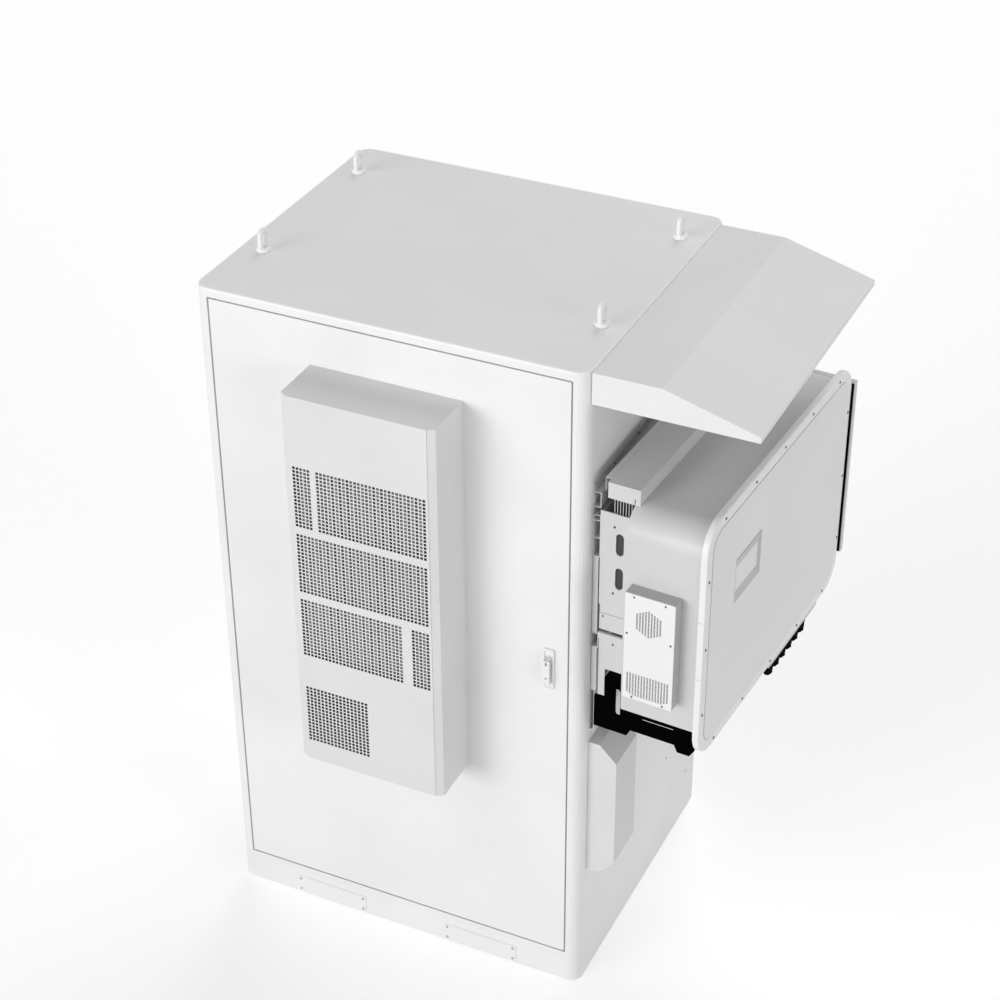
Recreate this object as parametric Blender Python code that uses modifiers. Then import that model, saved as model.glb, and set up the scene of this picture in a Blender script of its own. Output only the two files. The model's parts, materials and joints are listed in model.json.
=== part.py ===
"""Outdoor battery cabinet with a door-mounted air conditioner and a string inverter hung on its side.

Frame: metres, +Z up, origin in the middle of the plinth's underside, door facing -Y.
The inverter hangs a few degrees out of line with the wall, so its pieces are laid out
in a frame of their own: x out from the wall, y along the inverter, z up.
"""

import math

import bmesh
import bpy
from mathutils import Matrix, Vector

# Cabinet
cabinet_width = 1.200
cabinet_depth = 1.010
cabinet_height = 2.182
corner_radius = 0.040
plinth_height = 0.100
plinth_wall = 0.006
lid_thickness = 0.022
lid_edge_radius = 0.006
side_wall = 0.030
floor_thickness = 0.030
seat_gap = 0.0003

# Fork pockets in the plinth and the plates that close them
pocket_spacing = 0.530
pocket_width = 0.226
pocket_height = 0.042
pocket_floor = 0.018
pocket_tube_wall = 0.004
pocket_cover_width = 0.248
pocket_cover_height = 0.062
sheet = 0.002
centre_beam_width = 0.100
centre_beam_height = 0.060

# Lifting eyes
eye_side_inset = 0.075
eye_front_inset = 0.264
eye_rear_inset = 0.172
eye_ring_radius = 0.019
eye_ring_thickness = 0.0085
eye_flange_radius = 0.023
eye_flange_height = 0.012
eye_height = 0.076
eye_stud_radius = 0.008
eye_stud_length = 0.014

# Door, its frame and its pivots
door_side_margin = 0.043
door_top_margin = 0.028
door_bottom_level = 0.1146
door_gap = 0.005
door_depth = 0.042
door_skin = 0.0025
door_back_gap = 0.007
frame_return_width = 0.032
hinge_return_width = 0.046
frame_return_thickness = 0.004
seal_width = 0.009
seal_edge_inset = 0.002
pivot_from_edge = 0.014
pivot_from_face = 0.0105
pivot_pin_radius = 0.0045
pivot_pin_length = 0.020
pivot_flange_radius = 0.009
pivot_flange_thickness = 0.0022
bush_wall = 0.0018
bush_flange_width = 0.0013
bush_flange_thickness = 0.003
running_clearance = 0.0001

# Swing handle, lock cam and lock rods
handle_from_edge = 0.0567
handle_pivot_level = 1.232
handle_dish_width = 0.034
handle_dish_bottom = handle_pivot_level - 0.103
handle_dish_top = handle_pivot_level + 0.036
handle_dish_thickness = 0.008
hub_radius = 0.0115
hub_thickness = 0.006
hub_shaft_radius = 0.006
lever_width = 0.020
lever_length = 0.081
lever_thickness = 0.008
lever_pin_radius = 0.0015
lever_pin_to_hub = 0.0046
ear_width = 0.006
cam_radius = 0.014
cam_thickness = 0.005
cam_back_offset = 0.0075
cam_pin_radius = 0.003
cam_pin_length = 0.009
rod_radius = 0.004
rod_to_opening = 0.005
yoke_half_width = 0.009
yoke_thickness = 0.005
yoke_slack = 0.0011
guide_width = 0.020
guide_height = 0.024
guide_wall = 0.004
guide_plate = 0.002
guide_reach = 0.090

# Air conditioner on the door
ac_width = 0.470
ac_height = 1.257
ac_top = cabinet_height - 0.167
ac_bottom = ac_top - ac_height
ac_depth = 0.177
ac_chamfer_across = 0.0215
ac_chamfer_back = 0.0115
ac_sheet = 0.0025
ac_front_sheet = 0.0015
ac_front_lip = 0.004
ac_cutout_width = 0.410
ac_cutout_bottom = ac_bottom + 0.032
ac_cutout_top = ac_top - 0.030
ac_inner_depth = 0.091
grille_pitch = 0.0505
grille_hole = 0.0380
grille_edge = 0.0065
grille_row_height = 0.202
grille_row_bottoms = (ac_top - 0.4230, ac_top - 0.6470, ac_top - 0.8715, ac_top - 1.1865)
narrow_field_width = 0.057
field_gap = 0.016
third_row_width = 0.3275
coil_bottom = ac_bottom + 0.382
coil_top = ac_top - 0.215
coil_from_sheet = 0.012
louvre_starts = (ac_top - 0.355, ac_bottom + 0.102)
louvre_count = 7
louvre_pitch = 0.030
louvre_width = 0.300
louvre_height = 0.018
coil_depth = 0.040
coil_fin_pitch = 0.026
coil_fin_slot = 0.014
coil_fin_depth = 0.010
compressor_radius = 0.055
compressor_height = 0.230
compressor_x = 0.110
fan_frame_size = 0.206
fan_frame_depth = 0.030
fan_tip_radius = 0.092
fan_tip_clearance = 0.004
fan_hub_radius = 0.030
fan_hub_length = 0.036
fan_motor_radius = 0.032
fan_shaft_radius = 0.005
blade_thickness = 0.0022
blade_pitch_root = 38.0
blade_pitch_tip = 24.0
blade_widening = 1.35
blower_radius = 0.100
blower_eye_radius = 0.060
blower_depth = 0.040
blower_level = ac_top - 0.255

# Sun canopy over the inverter
canopy_front_inset = 0.024
canopy_rear_inset = 0.038
canopy_drop_from_lid = 0.004
canopy_flat_reach = 0.196
canopy_reach = 0.470
canopy_slope_drop = 0.077
canopy_lip = 0.018
canopy_sheet = 0.003

# Wall rails, hanger plates and bracket arms
rail_front_inset = 0.0525
rail_rear_inset = 0.1005
rail_depth = 0.022
rail_sheet = 0.0025
upper_rail_bottom = cabinet_height - 0.436
upper_rail_height = 0.049
upper_rail_flange = 0.025
ladder_rail_bottom = cabinet_height - 0.598
ladder_rail_height = 0.137
ladder_web_levels = (cabinet_height - 0.536, cabinet_height - 0.479)
middle_rail_bottom = cabinet_height - 0.908
middle_rail_height = 0.050
lower_rail_bottom = cabinet_height - 1.208
lower_rail_height = 0.147
lower_rail_depth = 0.014
plate_from_end = 0.080
hanger_thickness = 0.004
hanger_bottom = cabinet_height - 0.751
hanger_top = cabinet_height - 0.440
hanger_slot_width = 0.024
hanger_slot_height = 0.073
hanger_slot_levels = (cabinet_height - 0.650, cabinet_height - 0.537)
hanger_slot_from_body = 0.049
hanger_hole_radius = 0.004
hanger_hole_from_slot = 0.017
hanger_hole_insets = (0.043, 0.048)
arm_thickness = 0.008
arm_root_top = cabinet_height - 1.075
arm_bottom = cabinet_height - 1.162
arm_foot_drop = 0.023
arm_horn_width = 0.085
arm_horn_top = cabinet_height - 0.974
arm_front_from_cover = 0.026
arm_toe_length = 0.066
arm_slot_width = 0.017
arm_slot_bottom = cabinet_height - 1.126
arm_slot_height = 0.097
arm_light_slot_length = 0.100
arm_light_slot_height = 0.009
arm_light_slot_level = cabinet_height - 1.112

# Cable duct on the wall under the inverter
duct_front_inset = 0.048
duct_width = 0.155
duct_depth = 0.090
duct_neck_depth = 0.036
duct_foot_depth = 0.042
duct_top = cabinet_height - 1.253
duct_shoulder = cabinet_height - 1.308
duct_heel = cabinet_height - 1.690
duct_bottom = cabinet_height - 1.742
duct_sheet = 0.002

# Inverter, in its own frame: x out from the wall, y along it, z up
inverter_from_wall = 0.352
inverter_overhang = 0.0504
inverter_yaw_degrees = 3.4
cover_length = cabinet_depth + 0.016
cover_height = 0.775
cover_top = cabinet_height - 0.356
cover_bottom = cover_top - cover_height
cover_corner_radius = 0.090
cover_flange_thickness = 0.019
cover_border = 0.036
cover_panel_rise = 0.002
cover_edge_radius = 0.004
window_low = (0.194, cabinet_height - 0.704)
window_size = (0.177, 0.144)
pane_low = (0.213, cabinet_height - 0.6765)
pane_size = (0.149, 0.080)
window_depth = 0.006
body_depth = 0.2255
body_end_inset = 0.006
body_bottom = cabinet_height - 1.030
body_top_drop = 0.005
body_corner_radius = 0.040
wiring_box_depth = 0.150
wiring_box_length = 0.370
wiring_box_end = cover_length - 0.096
wiring_box_start = wiring_box_end - wiring_box_length
wiring_box_bottom = cabinet_height - 1.182
gland_count = 6
gland_first = wiring_box_start + 0.040
gland_pitch = 0.061
gland_from_cover = 0.026
gland_radius = 0.019
gland_length = 0.078
gland_plate_thickness = 0.003
gland_plate_inset = 0.010
fin_count = 9
fin_pitch = 0.0085
fin_thickness = 0.0025
fin_bottom = cabinet_height - 0.932
fin_top = cabinet_height - 0.382
fin_base = 0.012
shroud_depth = 0.096
shroud_lap = 0.0175
shroud_top = cabinet_height - 0.329
shroud_skirt_bottom = cabinet_height - 0.379
shroud_end_inset = 0.060
shroud_sheet = 0.0025
side_box_low = (-0.199, cabinet_height - 0.945)
side_box_width = 0.149
side_box_height = 0.353
side_box_depth = 0.044
side_box_sheet = 0.002
side_fan_from_left = 0.070
side_fan_level = cabinet_height - 0.678
side_fan_radius = 0.036
side_fan_depth = 0.014
side_vent_pitch = 0.020
side_vent_hole = 0.014
side_vent_count = 5
side_slot_count = 6
side_slot_height = 0.070
side_slot_bottom = cabinet_height - 0.930
outlet_from_cover = 0.200
outlet_depth = 0.034
outlet_width = 0.190
outlet_height = 0.640
outlet_bottom = cabinet_height - 1.022
outlet_louvres = 5

# Battery rack, packs and switch box inside
rack_side_gap = 0.080
rack_front_room = 0.205
rack_rear_gap = 0.035
rack_top_gap = 0.095
post_size = 0.050
post_wall = 0.004
rack_clearance = 0.0005
pack_count = 5
first_shelf = 0.185
pack_head_room = 0.060
pack_side_room = 0.060
pack_end_room = 0.020
shelf_ledge = 0.050
pack_edge_radius = 0.006
pack_handle_span = 0.110
pack_handle_reach = 0.030
pack_handle_thickness = 0.006
pack_handle_width = 0.016
pack_handle_from_centre = 0.300
pack_socket_radius = 0.016
pack_socket_length = 0.018
switch_box_head_room = 0.030
switch_box_depth = 0.300
switch_box_height = 0.200
toggle_radius = 0.010
toggle_width = 0.020
toggle_lever_length = 0.036
toggle_rest_degrees = 35.0

# Places that follow from the sizes above
left, right = -cabinet_width / 2, cabinet_width / 2
front, rear = -cabinet_depth / 2, cabinet_depth / 2
lid_bottom = cabinet_height - lid_thickness
shell_bottom = plinth_height + seat_gap
shell_top = lid_bottom - seat_gap
floor_top = plinth_height + floor_thickness
door_pocket_depth = door_depth + door_back_gap
return_front = front + door_pocket_depth
return_back = return_front + frame_return_thickness
pocket_left, pocket_right = left + door_side_margin, right - door_side_margin
pocket_top = cabinet_height - door_top_margin
door_left, door_right = pocket_left + door_gap, pocket_right - door_gap
door_low, door_high = door_bottom_level + door_gap, pocket_top - door_gap
door_back = front + door_depth
opening_left, opening_right = pocket_left + hinge_return_width, pocket_right - frame_return_width
opening_low, opening_high = door_bottom_level + frame_return_width, pocket_top - frame_return_width
pivot_x, pivot_y = door_left + pivot_from_edge, front + pivot_from_face
bush_radius = pivot_pin_radius + running_clearance + bush_wall
liner_front, liner_back = front + door_skin + seat_gap, door_back - 0.001
ac_face = front - ac_depth
ac_frame_face = ac_face + ac_front_sheet + seat_gap
ac_inside_half = ac_width / 2 - ac_sheet
ac_flat_half = ac_width / 2 - ac_chamfer_across
ac_base_back = front - seat_gap
ac_base_front = ac_base_back - ac_sheet
wall = right + seat_gap
rail_front = front + rail_front_inset
rail_back = rear - rail_rear_inset
canopy_top = cabinet_height - canopy_drop_from_lid
canopy_eave = canopy_top - canopy_slope_drop - canopy_lip
yaw = math.radians(inverter_yaw_degrees)
body_back = -body_depth
body_top = cover_top - body_top_drop
body_start, body_end = body_end_inset, cover_length - body_end_inset
rack_width = cabinet_width - 2 * (side_wall + rack_side_gap)
rack_front, rack_back = front + rack_front_room, rear - side_wall - rack_rear_gap
rack_low, rack_high = floor_top + rack_clearance, lid_bottom - rack_top_gap
top_shelf = rack_high - switch_box_head_room - switch_box_height
shelf_pitch = (top_shelf - first_shelf) / pack_count
pack_width = rack_width - 2 * pack_side_room
pack_depth = rack_back - rack_front - 2 * pack_end_room
pack_height = shelf_pitch - pack_head_room
pack_front = rack_front + pack_end_room / 2
inverter_origin = (right + inverter_from_wall, front - inverter_overhang)
fan_x = -ac_flat_half + grille_edge + fan_frame_size / 2
fan_level = ac_bottom + 0.1717
handle_x = door_right - handle_from_edge

# Finishes: colour, roughness, metallic
white_paint = ((0.83, 0.83, 0.83), 0.50, 0.0)
grey_paint = ((0.70, 0.70, 0.71), 0.50, 0.0)
black_paint = ((0.012, 0.012, 0.013), 0.55, 0.0)
bare_steel = ((0.55, 0.56, 0.57), 0.35, 1.0)
bare_aluminium = ((0.72, 0.73, 0.74), 0.40, 1.0)
black_plastic = ((0.02, 0.02, 0.022), 0.50, 0.0)
black_rubber = ((0.03, 0.03, 0.03), 0.85, 0.0)


def clear_scene():
    """Remove every object so that the script can run again in one file."""
    for item in list(bpy.data.objects):
        bpy.data.objects.remove(item, do_unlink=True)


def collection(name):
    """A collection linked to the scene."""
    group = bpy.data.collections.new(name)
    bpy.context.scene.collection.children.link(group)
    return group


clear_scene()
parts = collection("battery_cabinet")
cutters = collection("cutters")


def material(name, look):
    """A Principled material with a colour, a roughness and a metallic value."""
    colour, roughness, metallic = look
    result = bpy.data.materials.new(name)
    result.use_nodes = True
    shader = result.node_tree.nodes["Principled BSDF"]
    shader.inputs["Base Color"].default_value = (*colour, 1.0)
    shader.inputs["Roughness"].default_value = roughness
    shader.inputs["Metallic"].default_value = metallic
    return result


def smooth(mesh, degrees=35.0):
    """Shade the rounded faces smooth and keep the real edges sharp."""
    mesh.shade_smooth()
    mesh.set_sharp_from_angle(angle=math.radians(degrees))


def add(name, mesh, location=(0, 0, 0), rotation=(0, 0, 0), look=None):
    """Link a mesh as a part when it has a finish, or else as a cutter."""
    item = bpy.data.objects.new(name, mesh)
    item.location = location
    item.rotation_euler = rotation
    if look is None:
        item.display_type = "WIRE"
        item.hide_render = True
        cutters.objects.link(item)
        return item
    mesh.materials.clear()
    mesh.materials.append(material(name, look))
    smooth(mesh)
    parts.objects.link(item)
    return item


def mesh_from(bm, name):
    """Turn a bmesh into mesh data."""
    mesh = bpy.data.meshes.new(name)
    bmesh.ops.recalc_face_normals(bm, faces=bm.faces)
    bm.to_mesh(mesh)
    bm.free()
    return mesh


def add_box(bm, low, high):
    """Add a box to a bmesh between two corners."""
    size = [b - a for a, b in zip(low, high)]
    centre = [(a + b) / 2 for a, b in zip(low, high)]
    place = Matrix.Translation(centre) @ Matrix.Diagonal((*size, 1.0))
    return bmesh.ops.create_cube(bm, size=1.0, matrix=place)["verts"]


def block(name, low, high, look=None, fillet=0.0, segments=2):
    """A box between two corners, with its origin at its middle and rounded edges on request."""
    centre = Vector([(a + b) / 2 for a, b in zip(low, high)])
    bm = bmesh.new()
    add_box(bm, Vector(low) - centre, Vector(high) - centre)
    item = add(name, mesh_from(bm, name), centre, look=look)
    if fillet:
        round_edges(item, fillet, segments)
    return item


def boxes(name, corners, look=None):
    """Several boxes that don't meet, in one object."""
    bm = bmesh.new()
    for low, high in corners:
        add_box(bm, low, high)
    return add(name, mesh_from(bm, name), look=look)


def round_edges(item, width, segments=2, degrees=50.0):
    """Round the sharp edges of a part."""
    bevel = item.modifiers.new("Rounded edges", "BEVEL")
    bevel.width = width
    bevel.segments = segments
    bevel.limit_method = "ANGLE"
    bevel.angle_limit = math.radians(degrees)


directions = {
    "x": (math.pi / 2, 0, math.pi / 2),
    "y": (math.pi / 2, 0, 0),
    "z": (0, 0, 0),
}


def along(axis, start, end, across=(0.0, 0.0)):
    """The middle of a run along one axis, given the place across it."""
    middle = (start + end) / 2
    if axis == "x":
        return (middle, across[0], across[1])
    if axis == "y":
        return (across[0], middle, across[1])
    return (across[0], across[1], middle)


def prism(name, outline, axis, start, end, look=None, holes=()):
    """A flat outline with holes, extruded along an axis: x takes (y, z), y takes (x, z), z takes (x, y)."""
    curve = bpy.data.curves.new(name, "CURVE")
    curve.dimensions = "2D"
    curve.fill_mode = "BOTH"
    curve.extrude = (end - start) / 2
    for loop in (outline, *holes):
        spline = curve.splines.new("POLY")
        spline.points.add(len(loop) - 1)
        for point, (u, v) in zip(spline.points, loop):
            point.co = (u, v, 0.0, 1.0)
        spline.use_cyclic_u = True
    guide = bpy.data.objects.new(name + "_outline", curve)
    cutters.objects.link(guide)
    depsgraph = bpy.context.evaluated_depsgraph_get()
    solid = bpy.data.meshes.new_from_object(guide.evaluated_get(depsgraph))
    bpy.data.objects.remove(guide, do_unlink=True)
    bm = bmesh.new()
    bm.from_mesh(solid)
    bpy.data.meshes.remove(solid)
    bmesh.ops.remove_doubles(bm, verts=bm.verts, dist=0.00001)
    bmesh.ops.dissolve_limit(bm, angle_limit=0.001, verts=bm.verts, edges=bm.edges)
    return add(name, mesh_from(bm, name), along(axis, start, end), directions[axis], look)


def cylinder(name, radius, axis, start, end, across, look=None, sides=24):
    """A round bar along an axis."""
    bm = bmesh.new()
    bmesh.ops.create_cone(
        bm, cap_ends=True, segments=sides, radius1=radius, radius2=radius, depth=end - start
    )
    return add(name, mesh_from(bm, name), along(axis, start, end, across), directions[axis], look)


def turned(name, profile, place, look=None, steps=20, rotation=(0, 0, 0), closed=False):
    """A profile of (radius, height) points turned round the local Z axis."""
    bm = bmesh.new()
    points = [bm.verts.new((radius, 0.0, height)) for radius, height in profile]
    for first, second in zip(points, points[1:]):
        bm.edges.new((first, second))
    if closed:
        bm.edges.new((points[-1], points[0]))
    mesh = bpy.data.meshes.new(name)
    bm.to_mesh(mesh)
    bm.free()
    item = add(name, mesh, place, rotation, look)
    screw = item.modifiers.new("Turned", "SCREW")
    screw.steps = steps
    screw.render_steps = steps
    screw.use_merge_vertices = True
    screw.merge_threshold = 0.00001
    screw.use_smooth_shade = True
    return item


def add_turned(bm, profile, sides, place):
    """Add a solid turned from (radius, depth) points that runs down from a place."""
    rings = []
    for radius, depth in profile:
        steps = sides if radius else 1
        ring = []
        for step in range(steps):
            angle = 2 * math.pi * step / steps
            x, y = radius * math.cos(angle), radius * math.sin(angle)
            ring.append(bm.verts.new((place[0] + x, place[1] + y, place[2] - depth)))
        rings.append(ring)
    for upper, lower in zip(rings, rings[1:]):
        for step in range(sides):
            corners = []
            for ring, index in ((upper, step), (upper, step + 1), (lower, step + 1), (lower, step)):
                vertex = ring[index % len(ring)]
                if vertex not in corners:
                    corners.append(vertex)
            bm.faces.new(corners)


def combine(item, other, operation):
    """Cut a part with another object, or join that object to it, with a live Boolean."""
    boolean = item.modifiers.new(other.name, "BOOLEAN")
    boolean.operation = operation
    boolean.solver = "EXACT"
    boolean.object = other
    return item


def cut(item, other):
    """Take another object's volume out of a part."""
    return combine(item, other, "DIFFERENCE")


def fuse(item, other):
    """Join another object's volume to a part."""
    return combine(item, other, "UNION")


def empty(name, location, rotation=(0, 0, 0), parent=None):
    """An axis or a frame that parts hang on."""
    item = bpy.data.objects.new(name, None)
    item.location = location
    item.rotation_euler = rotation
    item.empty_display_size = 0.05
    cutters.objects.link(item)
    if parent:
        carry(item, parent)
    return item


def carry(item, parent):
    """Parent an object and leave it where it is."""
    bpy.context.view_layer.update()
    item.parent = parent
    item.matrix_parent_inverse = parent.matrix_world.inverted()
    return item


def settle(item, frame):
    """Parent an object whose place is already given in the frame's own axes."""
    item.parent = frame
    return item


def arc(centre, radius, start, end, steps):
    """Points on an arc, in degrees."""
    angles = [math.radians(start + (end - start) * i / steps) for i in range(steps + 1)]
    return [(centre[0] + radius * math.cos(a), centre[1] + radius * math.sin(a)) for a in angles]


def rectangle(low, high):
    """The four corners of an upright rectangle."""
    return [(low[0], low[1]), (high[0], low[1]), (high[0], high[1]), (low[0], high[1])]


def rounded(low, high, radius, steps=6):
    """A rectangle with round corners."""
    x0, y0, x1, y1 = low[0] + radius, low[1] + radius, high[0] - radius, high[1] - radius
    return (
        arc((x1, y1), radius, 0, 90, steps)
        + arc((x0, y1), radius, 90, 180, steps)
        + arc((x0, y0), radius, 180, 270, steps)
        + arc((x1, y0), radius, 270, 360, steps)
    )


def funnel(name, floor, mouth, rise):
    """Cutter with slanted sides from a small rectangle up to a large one, and straight above it: x, corner, size."""
    bm = bmesh.new()
    for x, low, size in (floor, mouth, (mouth[0] + rise, *mouth[1:])):
        for y, z in rectangle(low, (low[0] + size[0], low[1] + size[1])):
            bm.verts.new((x, y, z))
    bmesh.ops.convex_hull(bm, input=bm.verts)
    return add(name, mesh_from(bm, name))


def slot(centre, width, height, steps=4):
    """An upright slot with round ends."""
    radius = width / 2
    reach = height / 2 - radius
    return (
        arc((centre[0], centre[1] + reach), radius, 0, 180, steps)
        + arc((centre[0], centre[1] - reach), radius, 180, 360, steps)
    )


def bore_radius(radius, sides):
    """Radius of a faceted bore whose flats clear a turning pin."""
    return (radius + running_clearance) / math.cos(math.pi / sides)


def plinth():
    """Welded base frame with two fork tunnels and a beam along the middle."""
    outline = rounded((left, front), (right, rear), corner_radius)
    inside = rectangle((left + 0.030, front + plinth_wall), (right - 0.030, rear - plinth_wall))
    item = prism("plinth", outline, "z", 0.0, plinth_height, white_paint, [inside])
    reach = cabinet_depth / 2 - plinth_wall / 2
    tube_half = pocket_width / 2 + pocket_tube_wall
    tubes = []
    holes = []
    for side in (-1, 1):
        x = side * pocket_spacing / 2
        top = pocket_floor + pocket_height
        tubes.append((
            (x - tube_half, -reach, pocket_floor - pocket_tube_wall),
            (x + tube_half, reach, top + pocket_tube_wall),
        ))
        holes.append((
            (x - pocket_width / 2, front - 0.010, pocket_floor),
            (x + pocket_width / 2, rear + 0.010, top),
        ))
    half_beam = centre_beam_width / 2
    tubes.append(((-half_beam, -reach, 0.0), (half_beam, reach, centre_beam_height)))
    fuse(item, boxes("plinth_tunnels", tubes))
    cut(item, boxes("plinth_pockets", holes))


def pocket_covers():
    """Thin plates over the front ends of the fork tunnels."""
    middle = pocket_floor + pocket_height / 2
    for side, word in ((-1, "left"), (1, "right")):
        x = side * pocket_spacing / 2
        low = (x - pocket_cover_width / 2, middle - pocket_cover_height / 2)
        high = (x + pocket_cover_width / 2, middle + pocket_cover_height / 2)
        outline = rounded(low, high, 0.003, 2)
        face = front - seat_gap
        prism("fork_pocket_cover_" + word, outline, "y", face - sheet, face, white_paint)


def enclosure():
    """Insulated shell: floor, walls and the stepped frame that the door shuts into."""
    outline = rounded((left, front), (right, rear), corner_radius)
    item = prism("enclosure_shell", outline, "z", shell_bottom, shell_top, white_paint)
    cut(item, block(
        "enclosure_cavity",
        (left + side_wall, return_back, floor_top),
        (right - side_wall, rear - side_wall, shell_top + 0.050),
    ))
    cut(item, block(
        "door_pocket",
        (pocket_left, front - 0.050, door_bottom_level),
        (pocket_right, return_front, pocket_top),
    ))
    cut(item, block(
        "door_opening",
        (opening_left, front - 0.060, opening_low),
        (opening_right, return_back + 0.010, opening_high),
    ))


def lid():
    """Roof panel with a soft upper edge and a step that sits inside the shell."""
    outline = rounded((left, front), (right, rear), corner_radius)
    item = prism("roof_lid", outline, "z", lid_bottom, cabinet_height, white_paint)
    rim = item.modifiers.new("Upper edge", "BEVEL")
    rim.width = lid_edge_radius
    rim.segments = 2
    rim.limit_method = "ANGLE"
    rim.angle_limit = math.radians(60.0)
    step = block(
        "lid_step",
        (left + side_wall + 0.002, return_back + 0.002, lid_bottom - 0.008),
        (right - side_wall - 0.002, rear - side_wall - 0.002, lid_bottom + 0.008),
    )
    fuse(item, step)
    sockets = [
        ((x - 0.012, y - 0.012, cabinet_height - eye_stud_length - 0.002), (x + 0.012, y + 0.012, cabinet_height + 0.020))
        for _, x, y in eye_places()
    ]
    cut(item, boxes("eye_sockets", sockets))


def eye_places():
    """Where the four lifting eyes are screwed in."""
    places = []
    for x_word, x in (("left", left + eye_side_inset), ("right", right - eye_side_inset)):
        for y_word, y in (("front", front + eye_front_inset), ("rear", rear - eye_rear_inset)):
            places.append((f"lifting_eye_{y_word}_{x_word}", x, y))
    return places


def lifting_eyes():
    """Eye bolts: stud, flange, neck and ring, with the ring's hole facing sideways."""
    base = cabinet_height + seat_gap
    ring_level = base + eye_height - eye_ring_radius - eye_ring_thickness
    for name, x, y in eye_places():
        neck = ring_level - eye_ring_radius - base
        profile = [
            (0.0, neck),
            (0.010, neck),
            (0.012, eye_flange_height + 0.004),
            (eye_flange_radius - 0.003, eye_flange_height),
            (eye_flange_radius, eye_flange_height - 0.003),
            (eye_flange_radius, 0.0),
            (eye_stud_radius, 0.0),
            (eye_stud_radius, -eye_stud_length),
            (0.0, -eye_stud_length),
        ]
        item = turned(name, profile, (x, y, base), white_paint, steps=12)
        bpy.ops.mesh.primitive_torus_add(
            major_segments=14, minor_segments=6, major_radius=eye_ring_radius, minor_radius=eye_ring_thickness,
            location=(x, y, ring_level), rotation=(0, math.pi / 2, 0),
        )
        ring = bpy.context.object
        ring.name = name + "_ring"
        ring.display_type = "WIRE"
        ring.hide_render = True
        for group in ring.users_collection:
            group.objects.unlink(ring)
        cutters.objects.link(ring)
        fuse(item, ring)


def door_seal():
    """Rubber gasket round the opening, against which the door closes."""
    low = (opening_left - seal_edge_inset, opening_low - seal_edge_inset)
    high = (opening_right + seal_edge_inset, opening_high + seal_edge_inset)
    inner = rounded(low, high, 0.010, 3)
    outer = rounded(
        (low[0] - seal_width, low[1] - seal_width), (high[0] + seal_width, high[1] + seal_width), 0.019, 3
    )
    prism("door_seal", outer, "y", door_back + seat_gap, return_front - seat_gap, black_rubber, [inner])


def door(hinge):
    """Door pan, its insulated liner and the bushes and pins of its pivots."""
    panel = block("door_panel", (door_left, front, door_low), (door_right, door_back, door_high), white_paint, 0.0012, 2)
    cut(panel, block(
        "door_pan",
        (door_left + door_skin, front + door_skin, door_low + door_skin),
        (door_right - door_skin, door_back + 0.020, door_high - door_skin),
    ))
    half = ac_cutout_width / 2
    cut(panel, block("door_window", (-half, front - 0.010, ac_cutout_bottom), (half, door_back + 0.010, ac_cutout_top)))
    hole = hub_shaft_radius + 0.001
    cut(panel, cylinder(
        "handle_hole", hole, "y", front - 0.010, front + 0.010, (handle_x, handle_pivot_level)
    ))
    for word, low, high in (
        ("lower", door_low - 0.010, door_low + 0.010),
        ("upper", door_high - 0.010, door_high + 0.010),
    ):
        cut(panel, cylinder(
            "pivot_hole_" + word, bush_radius + seat_gap, "z", low, high, (pivot_x, pivot_y)
        ))
    liner = block(
        "door_liner",
        (door_left + door_skin + seat_gap, liner_front, door_low + door_skin + seat_gap),
        (door_right - door_skin - seat_gap, liner_back, door_high - door_skin - seat_gap),
        white_paint,
    )
    cut(liner, block("liner_window", (-half, liner_front - 0.010, ac_cutout_bottom), (half, liner_back + 0.010, ac_cutout_top)))
    notch = pivot_from_edge + bush_radius + 0.010
    cut(liner, boxes("liner_notches", [
        ((door_left - 0.010, front - 0.010, door_low - 0.010), (door_left + notch, door_back + 0.010, door_low + 0.040)),
        ((door_left - 0.010, front - 0.010, door_high - 0.040), (door_left + notch, door_back + 0.010, door_high + 0.010)),
    ]))
    cut(liner, cylinder(
        "liner_handle_hole", hub_shaft_radius + 0.002, "y", liner_front - 0.010, liner_back + 0.010,
        (handle_x, handle_pivot_level),
    ))
    carry(panel, hinge)
    carry(liner, hinge)
    for word, edge, inward in door_ends():
        carry(door_bush(word, edge, inward), hinge)
        door_pin(word, edge, inward)


def door_ends():
    """The door's lower and upper edge: a word, the edge's level and the way into the door."""
    return (("lower", door_low, 1), ("upper", door_high, -1))


def door_bush(word, edge, inward):
    """A flanged bush, pressed into an edge of the door."""
    sides = 16
    bore = bore_radius(pivot_pin_radius, sides)
    flange = bush_radius + bush_flange_width
    seat = door_skin + seat_gap
    profile = [
        (bore, seat + 0.014),
        (bush_radius, seat + 0.014),
        (bush_radius, seat + bush_flange_thickness),
        (flange, seat + bush_flange_thickness),
        (flange, seat),
        (bush_radius, seat),
        (bush_radius, 0.0),
        (bore, 0.0),
    ]
    return turned_from(f"door_bush_{word}", profile, edge, inward, black_plastic, closed=True)


def door_pin(word, edge, inward):
    """A pivot pin whose flange stands on the frame below or above the door."""
    seat = seat_gap - door_gap
    profile = [
        (0.0, pivot_pin_length),
        (pivot_pin_radius - 0.001, pivot_pin_length),
        (pivot_pin_radius, pivot_pin_length - 0.001),
        (pivot_pin_radius, seat + pivot_flange_thickness),
        (pivot_flange_radius, seat + pivot_flange_thickness),
        (pivot_flange_radius, seat),
        (0.0, seat),
    ]
    return turned_from(f"door_pivot_pin_{word}", profile, edge, inward, bare_steel)


def turned_from(name, profile, edge, inward, look, closed=False):
    """A turned piece on the pivot axis, with its heights counted from an edge into the door."""
    turn = (0, 0, 0) if inward > 0 else (math.pi, 0, 0)
    return turned(name, profile, (pivot_x, pivot_y, edge), look, 16, turn, closed)


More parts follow.
